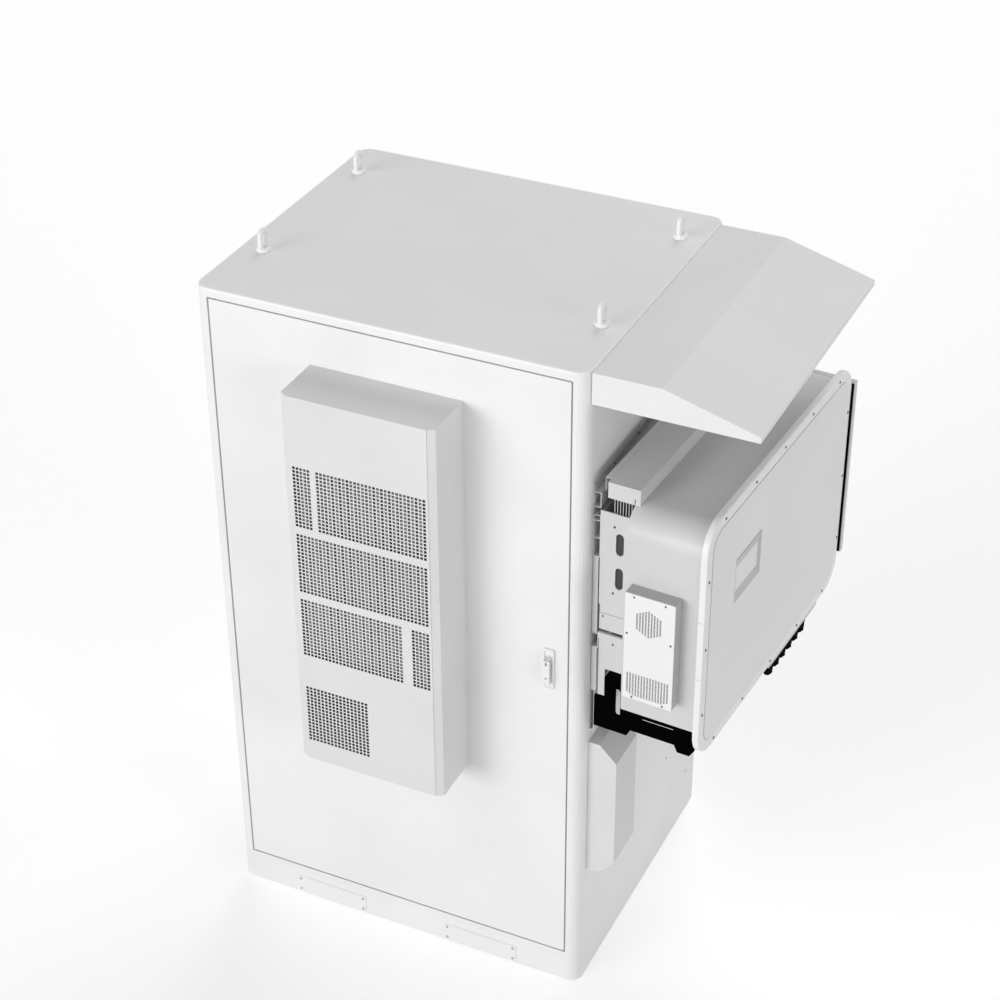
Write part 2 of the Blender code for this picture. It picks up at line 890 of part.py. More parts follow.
def handle(hinge):
    """Swing handle: dish, hub with its cam inside the door, and the lever that lifts."""
    face = front - seat_gap
    low = (handle_x - handle_dish_width / 2, handle_dish_bottom)
    high = (handle_x + handle_dish_width / 2, handle_dish_top)
    hole = arc((handle_x, handle_pivot_level), hub_shaft_radius + 0.001, 0, 345, 23)
    dish_face = face - handle_dish_thickness
    dish = prism(
        "handle_dish", rounded(low, high, 0.005, 3), "y", dish_face, face, white_paint, [hole]
    )
    carry(dish, hinge)

    hub_back = dish_face - seat_gap
    hub_face = hub_back - hub_thickness
    cam_front = door_back + cam_back_offset
    cam_back = cam_front + cam_thickness
    turn = empty("handle_turn_axis", (handle_x, hub_face, handle_pivot_level), parent=hinge)
    hub = cylinder("handle_hub", hub_radius, "y", hub_face, hub_back, (handle_x, handle_pivot_level), bare_steel)
    fuse(hub, cylinder(
        "hub_shaft", hub_shaft_radius, "y", hub_back - 0.002, cam_back, (handle_x, handle_pivot_level), sides=16
    ))
    ear_half = ear_width / 2
    pin_y = hub_face - lever_pin_to_hub
    fuse(hub, block(
        "hub_ear",
        (handle_x - ear_half, pin_y - 0.003, handle_pivot_level - 0.003),
        (handle_x + ear_half, hub_face + 0.002, handle_pivot_level + 0.003),
    ))
    pin_end = lever_width / 2 - 0.0015
    fuse(hub, cylinder(
        "lever_pin", lever_pin_radius, "x", handle_x - pin_end, handle_x + pin_end, (pin_y, handle_pivot_level), sides=12
    ))
    reach = cam_radius * math.sqrt(0.5)
    fuse(hub, block(
        "cam_plate",
        (handle_x - reach - 0.005, cam_front, handle_pivot_level - reach - 0.005),
        (handle_x + reach + 0.005, cam_back, handle_pivot_level + reach + 0.005),
    ))
    for word, side in (("left", -1), ("right", 1)):
        fuse(hub, cylinder(
            "cam_pin_" + word, cam_pin_radius, "y", cam_back - 0.002, cam_back + cam_pin_length,
            (handle_x + side * reach, handle_pivot_level + side * reach), sides=12,
        ))
    carry(hub, turn)

    lift = empty("handle_lift_axis", (handle_x, pin_y, handle_pivot_level), parent=turn)
    half = lever_thickness / 2
    end = handle_pivot_level - lever_length
    outline = arc((pin_y, handle_pivot_level), half, 0, 180, 6) + [
        (pin_y - half, end + 0.010),
        (pin_y - half + 0.003, end),
        (pin_y + half, end),
    ]
    lever = prism(
        "handle_lever", outline, "x", handle_x - lever_width / 2, handle_x + lever_width / 2, bare_steel
    )
    round_edges(lever, 0.001, 1)
    cut(lever, block(
        "lever_fork",
        (handle_x - ear_half - 0.0005, pin_y - half - 0.010, handle_pivot_level - 0.012),
        (handle_x + ear_half + 0.0005, pin_y + half + 0.010, handle_pivot_level + 0.020),
    ))
    cut(lever, cylinder(
        "lever_bore", bore_radius(lever_pin_radius, 12), "x", handle_x - lever_width, handle_x + lever_width,
        (pin_y, handle_pivot_level), sides=12,
    ))
    carry(lever, lift)
    lock_rods(hinge, cam_back, reach)
    rod_guides(hinge, cam_back)


def rod_plane(cam_back):
    """Depth at which the lock rods run, behind the cam."""
    return cam_back + 0.001 + rod_radius


def rod_x(side):
    """Place of a lock rod across the door."""
    reach = cam_radius * math.sqrt(0.5)
    return handle_x + side * (reach + cam_radius) / 2


def lock_rods(hinge, cam_back, reach):
    """Flat-ended rods that the cam pins push up and down."""
    middle = rod_plane(cam_back)
    for word, side, tip in (
        ("upper", -1, opening_high - rod_to_opening),
        ("lower", 1, opening_low + rod_to_opening),
    ):
        x = rod_x(side)
        pin_level = handle_pivot_level + side * reach
        low = (x - yoke_half_width, pin_level - yoke_half_width)
        high = (x + yoke_half_width, pin_level + yoke_half_width)
        half_run = (cam_radius - reach) / 2 + cam_pin_radius + yoke_slack
        half_height = cam_pin_radius + yoke_slack
        eye = rectangle((x - half_run, pin_level - half_height), (x + half_run, pin_level + half_height))
        yoke = prism(
            "lock_rod_" + word, rectangle(low, high), "y",
            middle - yoke_thickness / 2, middle + yoke_thickness / 2, bare_steel, [eye],
        )
        start, end = sorted((pin_level - side * (yoke_half_width - 0.002), tip))
        fuse(yoke, cylinder("rod_" + word, rod_radius, "z", start, end, (x, middle), sides=12))
        carry(yoke, hinge)


def rod_guides(hinge, cam_back):
    """Bracket on the liner behind the cam, with a bored lug above and below for each rod."""
    middle = rod_plane(cam_back)
    back = liner_back + seat_gap
    reach = guide_reach + guide_height / 2
    item = block(
        "lock_guide_bracket",
        (rod_x(-1) - guide_width / 2, back, handle_pivot_level - reach),
        (rod_x(1) + guide_width / 2, back + guide_plate, handle_pivot_level + reach),
        grey_paint,
    )
    hub_hole = hub_shaft_radius + 0.002
    cut(item, cylinder(
        "guide_hub_hole", hub_hole, "y", back - 0.010, back + 0.010, (handle_x, handle_pivot_level)
    ))
    lugs = []
    for side in (-1, 1):
        x, level = rod_x(side), handle_pivot_level - side * guide_reach
        lugs.append((
            (x - guide_width / 2, back + guide_plate / 2, level - guide_height / 2),
            (x + guide_width / 2, middle + rod_radius + guide_wall, level + guide_height / 2),
        ))
    fuse(item, boxes("guide_lugs", lugs))
    for word, side in (("upper", -1), ("lower", 1)):
        level = handle_pivot_level - side * guide_reach
        cut(item, cylinder(
            "guide_bore_" + word, rod_radius + 0.0006, "z", level - 0.030, level + 0.030,
            (rod_x(side), middle), sides=12,
        ))
    carry(item, hinge)


def ac_outline(face, half, chamfer_across, chamfer_back, back):
    """Plan of the air conditioner's hood with its two slanted front corners."""
    return [
        (-half, back),
        (-half, face + chamfer_back),
        (-half + chamfer_across, face),
        (half - chamfer_across, face),
        (half, face + chamfer_back),
        (half, back),
    ]


def ac_cover(hinge):
    """Sheet hood of the air conditioner, open at the back, with a window behind the grille."""
    outer = ac_outline(ac_frame_face, ac_width / 2, ac_chamfer_across, ac_chamfer_back, front - seat_gap)
    item = prism("ac_cover", outer, "z", ac_bottom, ac_top, white_paint)
    inner = ac_outline(
        ac_frame_face + ac_sheet, ac_inside_half, ac_chamfer_across, ac_chamfer_back, front + 0.050
    )
    cut(item, prism("ac_hollow", inner, "z", ac_bottom + ac_sheet, ac_top - ac_sheet))
    half = ac_flat_half - ac_front_lip
    cut(item, block(
        "ac_front_window",
        (-half, ac_face - 0.010, ac_bottom + 0.034),
        (half, ac_frame_face + 0.010, ac_top - 0.034),
    ))
    carry(item, hinge)


def grille_fields():
    """Fields of square holes: each one's low corner and its size."""
    half = ac_flat_half - grille_edge
    first, second, third, fourth = grille_row_bottoms
    shift = narrow_field_width + field_gap
    return [
        ((-half, first), (narrow_field_width, grille_row_height)),
        ((-half + shift, first), (2 * half - shift, grille_row_height)),
        ((-half, second), (2 * half, grille_row_height)),
        ((-half, third), (third_row_width, grille_row_height)),
        ((half - narrow_field_width, third), (narrow_field_width, grille_row_height)),
        ((-half, fourth), (fan_frame_size, grille_row_height)),
    ]


def grille_panel(hinge):
    """Front sheet of the hood with its fields of square holes."""
    holes = []
    for (x0, z0), (width, height) in grille_fields():
        columns = max(1, round(width / grille_pitch))
        rows = max(1, round(height / grille_pitch))
        step_x, step_z = width / columns, height / rows
        half_x, half_z = grille_hole / grille_pitch * step_x / 2, grille_hole / grille_pitch * step_z / 2
        for column in range(columns):
            for row in range(rows):
                x, z = x0 + (column + 0.5) * step_x, z0 + (row + 0.5) * step_z
                holes.append(rectangle((x - half_x, z - half_z), (x + half_x, z + half_z)))
    edge = ac_flat_half - seat_gap
    outline = rectangle((-edge, ac_bottom), (edge, ac_top))
    item = prism("ac_grille_panel", outline, "y", ac_face, ac_face + ac_front_sheet, white_paint, holes)
    carry(item, hinge)


def ac_inside(hinge):
    """Base plate, inner housing, coil and compressor of the air conditioner."""
    low, high = ac_bottom + ac_sheet + seat_gap, ac_top - ac_sheet - seat_gap
    half = ac_inside_half - seat_gap
    carry(block("ac_base_plate", (-half, ac_base_front, low), (half, ac_base_back, high), bare_steel), hinge)

    inner_half = ac_cutout_width / 2 - 0.0005
    inner_front = ac_base_back + seat_gap
    inner_back = door_back + ac_inner_depth
    housing = block(
        "ac_inner_housing",
        (-inner_half, inner_front, ac_cutout_bottom + 0.0005),
        (inner_half, inner_back, ac_cutout_top - 0.0005),
        white_paint,
    )
    cut(housing, block(
        "ac_inner_hollow",
        (-inner_half + sheet, front - 0.030, ac_cutout_bottom + 0.0005 + sheet),
        (inner_half - sheet, inner_back - sheet, ac_cutout_top - 0.0005 - sheet),
    ))
    louvres = []
    half_louvre = louvre_width / 2
    for start in louvre_starts:
        for row in range(louvre_count):
            sill = start + row * louvre_pitch
            louvres.append((
                (-half_louvre, inner_back - 0.020, sill),
                (half_louvre, inner_back + 0.020, sill + louvre_height),
            ))
    cut(housing, boxes("ac_louvres", louvres))
    carry(housing, hinge)

    coil_front = ac_frame_face + ac_sheet + coil_from_sheet
    count = int((2 * half - 0.030) / coil_fin_pitch)
    run = count * coil_fin_pitch
    outline = [(-half, coil_front + coil_depth), (-half, coil_front)]
    for index in range(count):
        x = -run / 2 + (index + 0.5) * coil_fin_pitch
        a, b = x - coil_fin_slot / 2, x + coil_fin_slot / 2
        deep = coil_front + coil_fin_depth
        outline += [(a, coil_front), (a, deep), (b, deep), (b, coil_front)]
    outline += [(half, coil_front), (half, coil_front + coil_depth)]
    carry(prism("condenser_coil", outline, "z", coil_bottom, coil_top, bare_aluminium), hinge)

    shoulder = compressor_height - 0.022
    profile = [
        (0.0, compressor_height),
        (0.030, compressor_height - 0.004),
        (compressor_radius, shoulder),
        (compressor_radius, 0.020),
        (compressor_radius - 0.012, 0.006),
        (compressor_radius + 0.012, 0.006),
        (compressor_radius + 0.012, 0.0),
        (0.0, 0.0),
    ]
    middle = (ac_base_front + ac_frame_face) / 2
    carry(turned("compressor", profile, (compressor_x, middle, low), black_paint, 20), hinge)


def add_blades(bm, count, root, tip, chord, thickness, pitch_root, pitch_tip):
    """Blades round the local Z axis: boxes that twist and widen towards the tip in two steps."""
    for index in range(count):
        turn = Matrix.Rotation(2 * math.pi * index / count, 4, "Z")
        blade = bmesh.new()
        add_box(blade, (root, -chord / 2, -thickness / 2), (tip, chord / 2, thickness / 2))
        span = [e for e in blade.edges if abs(e.verts[0].co.x - e.verts[1].co.x) > (tip - root) / 2]
        bmesh.ops.subdivide_edges(blade, edges=span, cuts=1)
        for vertex in blade.verts:
            share = (vertex.co.x - root) / (tip - root)
            angle = math.radians(pitch_root + (pitch_tip - pitch_root) * share)
            vertex.co.y *= 1.0 + (blade_widening - 1.0) * share
            vertex.co = turn @ (Matrix.Rotation(angle, 4, "X") @ vertex.co)
        bmesh.ops.triangulate(blade, faces=blade.faces)
        mesh = mesh_from(blade, "blade")
        bm.from_mesh(mesh)
        bpy.data.meshes.remove(mesh)


def axial_rotor(name, hub_radius_, hub_length, tip, chord, bore, blades, place, rotation, look):
    """Fan rotor with a round hub, twisted blades and a bore for its shaft."""
    bm = bmesh.new()
    bmesh.ops.create_cone(
        bm, cap_ends=True, segments=20, radius1=hub_radius_, radius2=hub_radius_ * 0.92, depth=hub_length
    )
    item = add(name, mesh_from(bm, name), place, rotation, look)
    bm = bmesh.new()
    half_tip = chord * blade_widening / 2 * math.cos(math.radians(blade_pitch_tip))
    reach = math.sqrt(tip ** 2 - half_tip ** 2)
    add_blades(bm, blades, hub_radius_ * 0.80, reach, chord, blade_thickness, blade_pitch_root, blade_pitch_tip)
    fan = add(name + "_blades", mesh_from(bm, name + "_blades"), place, rotation)
    fuse(item, fan)
    bm = bmesh.new()
    bmesh.ops.create_cone(bm, cap_ends=True, segments=16, radius1=bore, radius2=bore, depth=hub_length * 2)
    cut(item, add(name + "_bore", mesh_from(bm, name + "_bore"), place, rotation))
    return item


def motor(name, radius, shaft, face, body_end_, shaft_end, across, look=bare_steel):
    """Motor with its shaft, standing on a plate and pointing along Y."""
    low, high = sorted((face, body_end_))
    item = cylinder(name, radius, "y", low, high, across, look, 20)
    start, end = sorted(((face + body_end_) / 2, shaft_end))
    fuse(item, cylinder(name + "_shaft", shaft, "y", start, end, across, sides=16))
    return item


def ac_fans(hinge):
    """Condenser fan behind its own grille field, and the blower of the inner circuit."""
    panel_back = ac_face + ac_front_sheet + seat_gap
    half = fan_frame_size / 2
    frame_back = panel_back + fan_frame_depth
    ring = arc((fan_x, fan_level), fan_tip_radius + fan_tip_clearance, 0, 350, 35)
    outline = rounded((fan_x - half, fan_level - half), (fan_x + half, fan_level + half), 0.012, 3)
    carry(prism("condenser_fan_frame", outline, "y", panel_back, frame_back, black_plastic, [ring]), hinge)

    rotor_middle = panel_back + fan_frame_depth / 2 + 0.006
    rotor_back = rotor_middle + fan_hub_length / 2
    carry(motor(
        "condenser_fan_motor", fan_motor_radius, fan_shaft_radius, ac_base_front - seat_gap,
        rotor_back + seat_gap * 5, rotor_middle - fan_hub_length / 2 + 0.002, (fan_x, fan_level),
    ), hinge)
    axis = empty("condenser_fan_axis", (fan_x, rotor_middle, fan_level), parent=hinge)
    rotor = axial_rotor(
        "condenser_fan_rotor", fan_hub_radius, fan_hub_length, fan_tip_radius, 0.046,
        bore_radius(fan_shaft_radius, 16), 5, (fan_x, rotor_middle, fan_level), (math.pi / 2, 0, 0), black_plastic,
    )
    carry(rotor, axis)

    motor_face = ac_base_back + seat_gap
    motor_end = motor_face + 0.050
    blower_middle = motor_end + 0.002 + blower_depth / 2
    carry(motor(
        "blower_motor", 0.035, fan_shaft_radius, motor_face, motor_end, blower_middle + 0.012, (0.0, blower_level)
    ), hinge)
    axis = empty("blower_axis", (0.0, blower_middle, blower_level), parent=hinge)
    carry(blower("blower_rotor", (0.0, blower_middle, blower_level)), axis)


def blower(name, place):
    """Centrifugal rotor: back disc with a hub, curved blades and a front ring."""
    half = blower_depth / 2
    disc = 0.002
    profile = [
        (bore_radius(fan_shaft_radius, 24), half),
        (blower_radius, half),
        (blower_radius, half - disc),
        (0.020, half - disc),
        (0.016, half - 0.024),
        (bore_radius(fan_shaft_radius, 24), half - 0.024),
    ]
    turn = (math.pi / 2, 0, 0)
    item = turned(name, profile, place, grey_paint, 24, turn, closed=True)
    bm = bmesh.new()
    for index in range(7):
        lean = Matrix.Rotation(math.radians(-40), 4, "Z")
        spin = Matrix.Rotation(2 * math.pi * index / 7, 4, "Z") @ Matrix.Translation((0.080, 0, 0)) @ lean
        for vertex in add_box(bm, (-0.018, -0.001, -half + disc / 2), (0.018, 0.001, half - disc / 2)):
            vertex.co = spin @ vertex.co
    fuse(item, add(name + "_blades", mesh_from(bm, name + "_blades"), place, turn))
    ring = [
        (blower_eye_radius, -half + disc),
        (blower_radius, -half + disc),
        (blower_radius, -half),
        (blower_eye_radius, -half),
    ]
    fuse(item, turned(name + "_ring", ring, place, None, 24, turn, closed=True))
    return item


def canopy():
    """Sheet hood over the inverter: flat top, slope, lip and closed ends, open below."""
    near = front + canopy_front_inset
    far = rear - canopy_rear_inset
    flat, tip = right + canopy_flat_reach, right + canopy_reach
    eave = canopy_top - canopy_slope_drop
    outline = [(wall, canopy_eave), (tip, canopy_eave), (tip, eave), (flat, canopy_top), (wall, canopy_top)]
    item = prism("sun_canopy", outline, "y", near, far, white_paint)
    skin = canopy_sheet
    hollow = [
        (wall + skin, canopy_eave - 0.050),
        (tip - skin, canopy_eave - 0.050),
        (tip - skin, eave - skin),
        (flat, canopy_top - skin),
        (wall + skin, canopy_top - skin),
    ]
    cut(item, prism("canopy_hollow", hollow, "y", near + skin, far - skin))


def channel(depth, low, high, skin):
    """Section of a channel with its back on the wall side open: two flanges and a web outside."""
    return [
        (wall, low),
        (wall + depth, low),
        (wall + depth, high),
        (wall, high),
        (wall, high - skin),
        (wall + depth - skin, high - skin),
        (wall + depth - skin, low + skin),
        (wall, low + skin),
    ]


def rails():
    """Four rails on the side wall that carry the inverter."""
    skin = rail_sheet
    high = upper_rail_bottom + upper_rail_height
    upper = [
        (wall, upper_rail_bottom),
        (wall + rail_depth, upper_rail_bottom),
        (wall + rail_depth, high),
        (wall + skin, high),
        (wall + skin, high + upper_rail_flange),
        (wall, high + upper_rail_flange),
        (wall, high - skin),
        (wall + rail_depth - skin, high - skin),
        (wall + rail_depth - skin, upper_rail_bottom + skin),
        (wall, upper_rail_bottom + skin),
    ]
    prism("upper_wall_rail", upper, "y", rail_front, rail_back, white_paint)
    ladder_top = ladder_rail_bottom + ladder_rail_height
    outline = rectangle((wall, ladder_rail_bottom), (wall + rail_depth, ladder_top))
    floors = [ladder_rail_bottom + skin] + [level + skin / 2 for level in ladder_web_levels]
    ceilings = [level - skin / 2 for level in ladder_web_levels] + [ladder_top - skin]
    cells = [
        rectangle((wall + skin, low), (wall + rail_depth - skin, high))
        for low, high in zip(floors, ceilings)
    ]
    prism("ladder_wall_rail", outline, "y", rail_front, rail_back, white_paint, cells)
    middle = channel(rail_depth, middle_rail_bottom, middle_rail_bottom + middle_rail_height, skin)
    prism("middle_wall_rail", middle, "y", rail_front, rail_back, white_paint)
    lower = channel(lower_rail_depth, lower_rail_bottom, lower_rail_bottom + lower_rail_height, skin)
    prism("lower_wall_rail", lower, "y", rail_front, rail_back, white_paint)


def across_to(x, y_local):
    """Place across the inverter's frame of a plane parallel to the wall, at a place along the frame."""
    return (x - inverter_origin[0] - y_local * math.sin(yaw)) / math.cos(yaw)


def plate_starts():
    """Near faces of the two bracket pairs, in the inverter's frame."""
    return (("front", plate_from_end), ("rear", cover_length - plate_from_end - arm_thickness))


def hanger_plates(frame):
    """Slotted plates between the wall rails and the back of the inverter."""
    for word, start in plate_starts():
        face = wall + rail_depth + seat_gap
        near = max(across_to(face, start), across_to(face, start + hanger_thickness))
        back = body_back - seat_gap
        outline = rectangle((near, hanger_bottom), (back, hanger_top))
        x = back - hanger_slot_from_body
        holes = [slot((x, level), hanger_slot_width, hanger_slot_height) for level in hanger_slot_levels]
        for level in (hanger_top - hanger_hole_insets[0], hanger_bottom + hanger_hole_insets[1]):
            holes.append(arc((x - hanger_hole_from_slot, level), hanger_hole_radius, 0, 330, 11))
        item = prism(
            f"hanger_plate_{word}", outline, "y", start, start + hanger_thickness, white_paint, holes
        )
        settle(item, frame)


def bracket_arms(frame):
    """Black steel arms under the inverter, with a horn behind its back and a toe in front."""
    for word, start in plate_starts():
        face = wall + lower_rail_depth + seat_gap
        root = max(across_to(face, start), across_to(face, start + arm_thickness))
        back = body_back - seat_gap
        top = body_bottom - seat_gap
        horn = back - arm_horn_width
        tip = -arm_front_from_cover
        toe = tip - arm_toe_length
        foot = arm_bottom - arm_foot_drop
        heel = body_back
        outline = [
            (root, foot),
            (heel - 0.012, foot),
            (heel, arm_bottom),
            (toe + 0.004, arm_bottom),
            (toe + 0.014, foot),
            (tip - 0.014, foot),
            (tip, foot + 0.022),
            (tip, top),
            (back, top),
            (back, arm_horn_top - 0.014),
            (back - 0.014, arm_horn_top),
            (horn + 0.014, arm_horn_top),
            (horn, arm_horn_top - 0.025),
            (horn, arm_root_top),
            (root, arm_root_top),
        ]
        x = back - arm_horn_width / 2
        holes = [
            slot((x, arm_slot_bottom + arm_slot_height / 2), arm_slot_width, arm_slot_height),
            rectangle(
                (-0.192, arm_light_slot_level - arm_light_slot_height / 2),
                (-0.192 + arm_light_slot_length, arm_light_slot_level + arm_light_slot_height / 2),
            ),
        ]
        item = prism(f"bracket_arm_{word}", outline, "y", start, start + arm_thickness, black_paint, holes)
        settle(item, frame)


def cable_duct():
    """Sheet duct on the wall below the inverter, with slanted shoulders and an open back."""
    near = front + duct_front_inset
    outline = [
        (wall, duct_bottom),
        (wall + duct_foot_depth, duct_bottom),
        (wall + duct_depth, duct_heel),
        (wall + duct_depth, duct_shoulder),
        (wall + duct_neck_depth, duct_top),
        (wall, duct_top),
    ]
    item = prism("cable_duct", outline, "y", near, near + duct_width, white_paint)
    skin = duct_sheet
    hollow = [
        (wall - 0.050, duct_bottom + skin),
        (wall + duct_foot_depth - skin / 2, duct_bottom + skin),
        (wall + duct_depth - skin, duct_heel + skin / 2),
        (wall + duct_depth - skin, duct_shoulder - skin / 2),
        (wall + duct_neck_depth - skin / 2, duct_top - skin),
        (wall - 0.050, duct_top - skin),
    ]
    cut(item, prism("duct_hollow", hollow, "y", near + skin, near + duct_width - skin))


def inverter_body(frame):
    """Cast housing with round upper corners and a wiring box below its far half."""
    radius = body_corner_radius
    outline = (
        [(body_start, body_bottom), (body_end, body_bottom)]
        + arc((body_end - radius, body_top - radius), radius, 0, 90, 6)
        + arc((body_start + radius, body_top - radius), radius, 90, 180, 6)
    )
    item = prism("inverter_housing", outline, "x", body_back, -seat_gap, white_paint)
    settle(item, frame)
    box = block(
        "wiring_box",
        (-wiring_box_depth, wiring_box_start, wiring_box_bottom),
        (-seat_gap, wiring_box_end, body_bottom + 0.020),
    )
    settle(box, frame)
    fuse(item, box)


def gland_plate(frame):
    """Plate under the wiring box with a row of cable glands."""
    top = wiring_box_bottom - seat_gap
    plate_bottom = top - gland_plate_thickness
    item = block(
        "gland_plate",
        (gland_plate_inset - wiring_box_depth, wiring_box_start + gland_plate_inset, plate_bottom),
        (-0.002, wiring_box_end - gland_plate_inset, top),
        black_plastic,
    )
    settle(item, frame)
    profile = [
        (0.0, 0.0),
        (gland_radius, 0.0),
        (gland_radius, gland_length * 0.36),
        (gland_radius * 0.86, gland_length * 0.36),
        (gland_radius * 0.86, gland_length * 0.74),
        (gland_radius * 0.62, gland_length * 0.80),
        (gland_radius * 0.62, gland_length),
        (0.0, gland_length),
    ]
    bm = bmesh.new()
    for index in range(gland_count):
        y = gland_first + index * gland_pitch
        add_turned(bm, profile, 10, (-gland_from_cover, y, plate_bottom + gland_plate_thickness / 2))
    glands = add("cable_glands", mesh_from(bm, "cable_glands"))
    settle(glands, frame)
    fuse(item, glands)


def heat_sink(frame):
    """Finned block behind the housing and the folded shroud that bridges it and the housing's top."""
    start, end = plate_from_end + hanger_thickness + 0.0005, cover_length - plate_from_end - arm_thickness - 0.0005
    front_face = body_back - seat_gap
    outline = [(front_face, fin_bottom), (front_face, fin_top)]
    x = front_face
    for index in range(fin_count):
        outline.append((x - fin_thickness, fin_top))
        if index < fin_count - 1:
            outline.append((x - fin_thickness, fin_bottom + fin_base))
            outline.append((x - fin_pitch, fin_bottom + fin_base))
            outline.append((x - fin_pitch, fin_top))
        x -= fin_pitch
    outline.append((x + fin_pitch - fin_thickness, fin_bottom))
    item = prism("heat_sink", outline, "y", start, end, bare_aluminium)
    settle(item, frame)

    over = body_top + seat_gap
    lap = body_back + shroud_lap
    back = lap - shroud_depth
    skin = shroud_sheet
    outline = [
        (back, shroud_skirt_bottom),
        (back, shroud_top),
        (lap, shroud_top),
        (lap, over),
        (body_back - seat_gap, over),
        (body_back - seat_gap, shroud_skirt_bottom),
    ]
    near, far = shroud_end_inset, cover_length - shroud_end_inset
    item = prism("heat_sink_shroud", outline, "y", near, far, white_paint)
    settle(item, frame)
    hollow = [
        (back + skin, shroud_skirt_bottom - 0.050),
        (back + skin, shroud_top - skin),
        (lap - skin, shroud_top - skin),
        (lap - skin, over + skin),
        (body_back - seat_gap - skin, over + skin),
        (body_back - seat_gap - skin, shroud_skirt_bottom - 0.050),
    ]
    tool = prism("shroud_hollow", hollow, "y", near + skin, far - skin)
    settle(tool, frame)
    cut(item, tool)


def inverter_cover(frame):
    """Front cover: thick flange with round corners, a raised panel and a window with slanted sides."""
    low, high = (0.0, cover_bottom), (cover_length, cover_top)
    outline = rounded(low, high, cover_corner_radius, 7)
    item = prism("inverter_cover", outline, "x", 0.0, cover_flange_thickness, white_paint)
    round_edges(item, cover_edge_radius, 1)
    settle(item, frame)
    border = cover_border
    panel = prism(
        "cover_panel",
        rounded((border, cover_bottom + border), (cover_length - border, cover_top - border), cover_corner_radius - border, 5),
        "x", cover_flange_thickness / 2, cover_flange_thickness + cover_panel_rise,
    )
    settle(panel, frame)
    fuse(item, panel)
    face = cover_flange_thickness + cover_panel_rise
    recess = funnel(
        "cover_window", (face - window_depth, pane_low, pane_size), (face, window_low, window_size), 0.020
    )
    settle(recess, frame)
    cut(item, recess)


def side_fan_box(frame):
    """Fan box on the inverter's near end: back shell, perforated front plate and a small fan."""
    x0, z0 = side_box_low
    x1, z1 = x0 + side_box_width, z0 + side_box_height
    back, face = body_start - seat_gap, body_start - side_box_depth
    skin = side_box_sheet
    plate_back = face + skin
    shell = block("side_fan_box", (x0, plate_back + seat_gap, z0), (x1, back, z1), white_paint)
    settle(shell, frame)
    hollow = block(
        "side_box_hollow", (x0 + skin, face - 0.020, z0 + skin), (x1 - skin, back - skin, z1 - skin)
    )
    settle(hollow, frame)
    cut(shell, hollow)
    fan = (x0 + side_fan_from_left, side_fan_level)
    rotor_middle = plate_back + 0.004 + side_fan_depth / 2
    stub = cylinder("side_fan_stub", 0.013, "y", rotor_middle + side_fan_depth / 2 + 0.002, back - skin / 2, fan, sides=16)
    shaft = cylinder("side_fan_shaft", 0.003, "y", rotor_middle - 0.004, back - skin / 2, fan, sides=12)
    for tool in (stub, shaft):
        settle(tool, frame)
        fuse(shell, tool)

    holes = []
    half_count = (side_vent_count - 1) / 2
    for column in range(side_vent_count):
        for row in range(side_vent_count):
            u, v = column - half_count, row - half_count
            if abs(u) + abs(v) > half_count * 2 - 1:
                continue
            x, z = fan[0] + u * side_vent_pitch, fan[1] + v * side_vent_pitch
            half = side_vent_hole / 2
            holes.append(rectangle((x - half, z - half), (x + half, z + half)))
    run = side_box_width - 0.022
    step = run / side_slot_count
    for index in range(side_slot_count):
        x = x0 + 0.004 + (index + 0.5) * step
        low = side_slot_bottom + (0.010 if index in (0, side_slot_count - 1) else 0.0)
        holes.append(rectangle((x - step * 0.25, low), (x + step * 0.25, side_slot_bottom + side_slot_height)))
    guard = prism("side_fan_guard", rounded((x0, z0), (x1, z1), 0.003, 2), "y", face, plate_back, white_paint, holes)
    settle(guard, frame)

    place = (fan[0], rotor_middle, fan[1])
    axis = empty("side_fan_axis", place)
    settle(axis, frame)
    rotor = axial_rotor(
        "side_fan_rotor", 0.013, side_fan_depth, side_fan_radius, 0.018, bore_radius(0.003, 16), 5,
        (0, 0, 0), (math.pi / 2, 0, 0), black_plastic,
    )
    for piece in [rotor] + [tool.object for tool in rotor.modifiers]:
        settle(piece, axis)


def air_outlet(frame):
    """Hood over the air outlet at the inverter's far end, open below its louvres."""
    near = body_end + seat_gap
    far = near + outlet_depth
    low = (-outlet_from_cover, near, outlet_bottom)
    high = (outlet_width - outlet_from_cover, far, outlet_bottom + outlet_height)
    item = block("air_outlet_hood", low, high, grey_paint)
    settle(item, frame)
    skin = side_box_sheet
    hollow = block(
        "outlet_hollow",
        (low[0] + skin, near - 0.020, low[2] + skin),
        (high[0] - skin, far - skin, high[2] - skin),
    )
    slits = []
    step = (outlet_height - 0.040) / outlet_louvres
    for index in range(outlet_louvres):
        z = outlet_bottom + 0.020 + (index + 0.25) * step
        slits.append(((low[0] + 0.020, far - 0.020, z), (high[0] - 0.020, far + 0.020, z + step * 0.5)))
    slots = boxes("outlet_slits", slits)
    for tool in (hollow, slots):
        settle(tool, frame)
        cut(item, tool)


